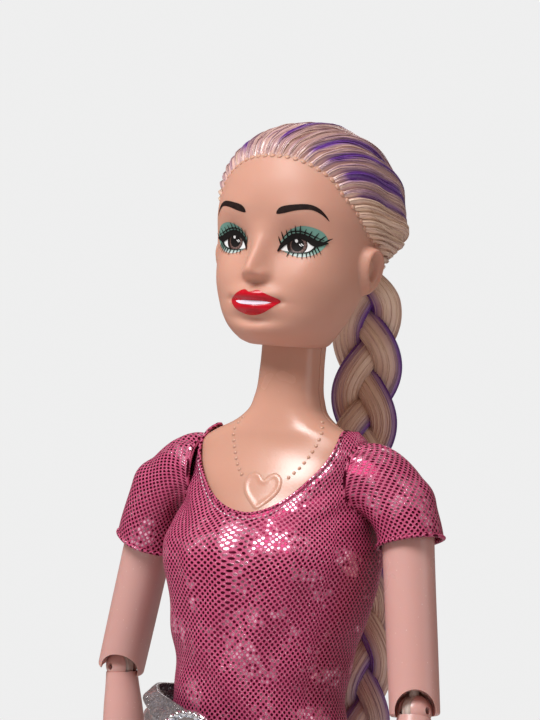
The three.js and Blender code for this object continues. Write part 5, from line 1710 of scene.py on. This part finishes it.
def hair_spots(run, t, lift=0.0):
    """Places on the hair for hairline runs (mm) and shares of the way back."""
    run, t = np.broadcast_arrays(np.asarray(run, float), np.asarray(t, float))
    starts, angle = on_loop(run)
    first = starts - hair_centre
    first /= np.linalg.norm(first, axis=-1, keepdims=True)
    last = gather - hair_centre
    last /= np.linalg.norm(last)
    swing = np.arccos(np.clip(first @ last, -1, 1))
    share = np.sin((1 - t) * swing) / np.sin(swing), np.sin(t * swing) / np.sin(swing)
    ahead = first * share[0][..., None] + last * share[1][..., None]
    flat = ahead.reshape(-1, 3)
    skull = np.array([np.linalg.norm(skull_spot(hair_centre, way) - hair_centre) for way in flat])
    skull = skull.reshape(t.shape)
    upper = smoothstep(104, 97, np.abs(angle))
    turn = np.abs(np.degrees(np.arctan2(ahead[..., 0], -ahead[..., 1])))
    rise = ahead[..., 2] * (skull + 2) + 20
    thick = 1.05 * smoothstep(0, 0.07, t) + 1.0 * smoothstep(0.05, 0.4, t)
    puff = 1.7 * smoothstep(92, 122, turn) * smoothstep(38, 30, rise) * smoothstep(18.5, 21.5, rise)
    lean = smoothstep(6, 16, ahead[..., 0] * skull) * smoothstep(0.1, 0.4, t)
    thick = thick - 1.15 * lean * upper
    thick = thick + 0.6 * smoothstep(-6, -16, ahead[..., 0] * skull) * smoothstep(0.1, 0.4, t) * upper
    thick = thick * (0.45 + 0.55 * upper) + puff * upper * smoothstep(0.1, 0.35, t)
    thick = thick + 2.0 * smoothstep(0.8, 1.0, t) * (1 - upper)
    tuft = np.mod(run / tuft_pitch, 1.0) - 0.5
    round_top = np.sqrt(np.clip(1 - (2 * tuft) ** 2, 0, 1)) - 0.7
    fade = smoothstep(0.0, 0.02, t) * (1 - 0.65 * smoothstep(0.12, 0.45, t)) * smoothstep(1.0, 0.8, t)
    thick = thick + round_top * 1.05 * fade
    lock = np.sin(run * 0.85 + 2.2 * np.sin(run * 0.31) + 0.8 * t)
    thick = thick + 0.45 * lock * smoothstep(0.12, 0.4, t) * smoothstep(1.0, 0.85, t)
    wave = 0.35 * np.sin(run * 0.37 + 9 * t) * smoothstep(0.3, 0.6, t) * smoothstep(1.0, 0.8, t)
    return hair_centre + ahead * (skull + thick + wave + lift - 0.35 * (t <= 0.001))[..., None], angle


# %% The skin of hair
runs = np.linspace(0, loop_length, tuft_count * 10, endpoint=False)
steps = np.concatenate([np.linspace(0, 0.12, 22, endpoint=False), np.linspace(0.12, 0.97, 80)])
grid, angles_here = hair_spots(runs[None, :], steps[:, None])
along = run_along(grid)
shade = tint_at(angles_here, np.broadcast_to(steps[:, None], angles_here.shape))
lay = np.stack([np.broadcast_to(runs, along.shape), along, np.zeros_like(along)], axis=2).reshape(-1, 3)
points, faces = skin(grid, "end")
lay = np.vstack([lay, lay[-1:]])
tints = np.append(shade.ravel(), 0.1)
piece("hair_sweep", points, faces, hair, "head", ["hair_cap"], lay=lay, tints=tints)
print("hair sweep:", len(points), "points")


# %% Separate fibres over it
def fibre_tubes(count, lifts, radius):
    """Thin tubes over the hair, with the cloth coordinate and the tint of their points."""
    tufts = chance.integers(0, tuft_count, count)
    inside = chance.normal(0, 0.22, count)
    share = np.linspace(0, 0.96, 46)
    spread = 0.45 + 0.75 * smoothstep(0.0, 0.2, share)
    drift = chance.normal(0, 0.45, count)[:, None] * smoothstep(0.1, 0.9, share)
    run = (tufts + 0.5)[:, None] * tuft_pitch + (inside[:, None] * spread + drift) * tuft_pitch
    height = chance.uniform(*lifts, count)[:, None]
    beat = chance.uniform(6, 16, count)[:, None]
    wobble = 0.12 * np.sin(share * beat + chance.uniform(0, 6, count)[:, None])
    spots, angle = hair_spots(run, np.broadcast_to(share, run.shape), height + wobble)
    parts, lays, tints = [], [], []
    for line, their, start in zip(spots, angle, run[:, 0]):
        radii = radius * (0.75 + 0.5 * chance.random()) * np.where(share > 0.9, 0.7, 1)
        points, faces = skin(tube(line, radii, 3, up=line - hair_centre))
        parts.append((points, faces))
        length = np.linspace(0, 40, len(line)).repeat(3)
        across = np.full(len(points), start + chance.normal(0, 2))
        lays.append(np.column_stack([across, length, np.zeros(len(points))]))
        tint = tint_at(their, share) + chance.normal(0, 0.1)
        tints.append(np.clip(tint, 0, 1).repeat(3))
    points, faces = joined(parts)
    return points, faces, np.vstack(lays), np.concatenate(tints)


points, faces, lay, tints = fibre_tubes(1000, (-0.05, 0.12), 0.085)
piece("hair_fibres", points, faces, hair, "head", lay=lay, tints=tints)
print("fibres:", len(points), "points")

# %% Vinyl rims in front of the tufts
rims = []
unit_ball = np.array(round_bead((0, 0, 0), 1.0, 10)).reshape(-1, 3)
for tuft in range(tuft_count):
    middle, angle = on_loop((tuft + 0.5) * tuft_pitch)
    if abs(angle) > 100:
        continue
    beside = on_loop((tuft + 0.8) * tuft_pitch)[0] - middle
    beside /= np.linalg.norm(beside)
    outward = middle - hair_centre
    outward /= np.linalg.norm(outward)
    back = np.cross(outward, beside)
    back *= np.sign(back.dot(gather - middle))
    shape = middle + back * 0.15 + unit_ball[:, :1] * beside * 0.6
    shape = shape + unit_ball[:, 1:2] * back * 0.55 + unit_ball[:, 2:] * outward * 0.3
    rims.append(skin(shape.reshape(10, 20, 3), "both"))
points, faces = joined(rims)
piece("hair_rims", points, faces, vinyl, "head")
print("rims:", len(rims))

# %% [markdown]
# The plait has three strands. Each swings from side to side, and passes over one strand and under the
# other. A strand is a bundle of fibres lying side by side, so it is a flat tube with fine grooves, with
# separate fibres over it. Each strand has one violet edge, which fades into a mauve grey at the end.

# %% Plait
plait_line = [
    (268.0, 3.3, 20.6), (262.0, 4.0, 22.0), (256.0, 4.7, 22.9), (250.0, 5.1, 23.2), (240.0, 5.6, 22.6),
    (228.0, 6.4, 21.5), (214.0, 7.8, 22.0), (198.0, 9.6, 23.0), (182.0, 10.2, 24.0), (168.0, 10.4, 24.5),
    (153.0, 10.4, 24.5),
]
plait_top, plait_tip = 268.0, 153.0
plait_period = 36.0
plait_side = np.array([0.9, 0.43, 0])
plait_ahead = np.array([0.43, -0.9, 0])
plait_heights = np.linspace(plait_top, plait_tip, 260)
plait_middle = through(plait_line[::-1], plait_heights)


def plait_size(z):
    """How thick the plait is at a height: it thins downwards, most where it is tied, and flares below."""
    size = 1.08 * (1 - 0.3 * (plait_top - z) / 115) * smoothstep(272, 262, z) ** 0.5
    return size * (0.55 + 0.45 * smoothstep(159, 166, z) + 0.25 * smoothstep(158, plait_tip, z))


def strand_places(phase):
    """The middle line of a strand, and how far it has turned in its swing."""
    turn = 2 * np.pi * (258 - plait_heights) / plait_period + phase
    size = plait_size(plait_heights)[:, None]
    middle = np.column_stack([plait_middle, plait_heights])
    swing = 4.1 * np.sin(turn)[:, None] * plait_side + 1.7 * np.sin(2 * turn)[:, None] * plait_ahead
    return middle + swing * size


def strand_parts(phase, tinge):
    """A strand and its fibres, with the cloth coordinate and the tint of their points."""
    count = 30
    line = strand_places(phase)
    ahead = np.gradient(line, axis=0)
    ahead /= np.linalg.norm(ahead, axis=1, keepdims=True)
    aside = np.cross(ahead, np.broadcast_to(plait_ahead, ahead.shape))
    aside /= np.linalg.norm(aside, axis=1, keepdims=True)
    over = np.cross(aside, ahead)
    size = plait_size(plait_heights)
    tip = smoothstep(205, 165, plait_heights)
    parts, lays, tints = [], [], []
    half, depth, sides = 2.75, 1.75, 28
    rows = tube(line, half * size, sides, flat=depth / half, up=plait_ahead)
    ring = full_turn(sides)
    parts.append(skin(rows, "both"))
    across = np.broadcast_to(ring * 2.4 + phase * 3, (len(line), sides)).reshape(-1)
    along = np.broadcast_to((plait_top - plait_heights)[:, None], (len(line), sides)).reshape(-1)
    lays.append(np.vstack([np.column_stack([across, along, along * 0]), np.zeros((2, 3))]))
    edge = np.clip(np.cos(ring - tinge), 0, 1) ** 1.6
    tint = 0.08 + 0.85 * edge[None, :] * (1 - 0.6 * tip[:, None]) + 0.25 * tip[:, None]
    tints.append(np.append(tint.ravel(), [0.3, 0.3]))
    for index in range(count):
        spot = 2 * np.pi * (index + 0.5 * chance.random()) / count
        wander = spot + 0.5 * np.sin(plait_heights * 0.05 + chance.uniform(0, 6)) * 0.5
        reach = (half - 0.02 + 0.1 * chance.random()) * size
        path = line + aside * (np.cos(wander) * reach)[:, None]
        path = path + over * (np.sin(wander) * reach * depth / half)[:, None]
        points, faces = skin(tube(path, 0.13 * (0.7 + 0.6 * chance.random()), 3, up=plait_ahead))
        parts.append((points, faces))
        across = np.full(len(points), spot * 2.4 + phase)
        lays.append(level(across, np.repeat(plait_top - plait_heights, 3), 0))
        tint = 0.08 + 0.85 * max(0, math.cos(spot - tinge)) ** 1.6 * (1 - 0.6 * tip) + 0.25 * tip
        tints.append(np.clip(tint + chance.normal(0, 0.06), 0, 1).repeat(3))
    return parts, lays, tints


parts, lays, tints = [], [], []
for number, (phase, tinge) in enumerate(((0.0, math.pi), (2 * math.pi / 3, 0.0), (4 * math.pi / 3, math.pi))):
    more = strand_parts(phase, tinge)
    parts += more[0]
    lays += more[1]
    tints += more[2]
points, faces = joined(parts)
lay, tints = np.vstack(lays), np.concatenate(tints)
plait = piece("plait_strands", points, faces, hair, None, ["plait"], lay=lay, tints=tints)
row_frame((2.5, 22, 262))
row_frame((4.5, 22, 225))
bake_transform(plait)
print("plait:", len(points), "points")

# %% Band round the end of the plait
elastic = thread_finish("elastic", (0.05, 0.035, 0.055), 0.5, 0.0)
turns = full_turn(120)
loops = []
for z in (158.4, 159.2, 160.0):
    x, y = through(plait_line[::-1], [z])[0]
    wave = z + 0.15 * np.sin(3 * turns + z)
    loops.append(ring_tube(np.column_stack([x + 3.3 * np.cos(turns), y + 2.9 * np.sin(turns), wave]), 0.45))
points, faces = joined(loops)
piece("plait_tie", points, faces, elastic, "torso", ["plait_band"])
print("plait tie:", len(loops), "turns of elastic")

# %% [markdown]
# The shirt closes at the back with a strip of tape, sewn on flat. The parts inside the doll, and the
# legs inside the trousers, have their full form in the CAD model, so they are kept and get a finish.

# %% Closing tape
tape_edge = [(x, 0.62) for x in np.linspace(-2.4, 2.4, 9)] + [(x, 0.1) for x in np.linspace(2.4, -2.4, 9)]
tape_rows = []
for z in np.linspace(179.5, 216.5, 60):
    strip = []
    for x, lift in tape_edge:
        spot = shirt_tree.ray_cast(Vector((x, 60, z)), Vector((0, -1, 0)))[0]
        strip.append((x, spot[1] + lift, z))
    tape_rows.append(strip)
tape_cloth = thread_finish("tape", (0.5, 0.08, 0.2), 0.6, 0.0)
points, faces = skin(tape_rows, "both")
piece("closing_tape", points, faces, tape_cloth, "torso", ["shirt_tape"])
print("closing tape:", len(points), "points")


# %% Kept parts get their finish
steel = metal_finish("steel", (0.5, 0.5, 0.52), 0.22)
shoe_plastic = metal_finish("shoe_plastic", (0.62, 0.62, 0.66), 0.22, 0.35)
kept = {
    link_plastic: [
        "neck_post", "shoulder_link_left", "shoulder_link_right", "hip_ball_left", "hip_ball_right",
    ],
    steel: ["elbow_pin_left", "elbow_pin_right", "hip_axle", "knee_pin_left", "knee_pin_right"],
    limb_plastic: ["thigh_left", "thigh_right", "shin_left", "shin_right"],
    shoe_plastic: ["shoe_left", "shoe_right"],
}
for finish, names in kept.items():
    for name in names:
        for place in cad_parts[name].material_slots:
            place.material = finish
shown = sorted(name for name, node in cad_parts.items() if not node.hide_render)
print("kept from the CAD model:", ", ".join(shown))


# %% Bring the scene up to date
bpy.context.view_layer.update()
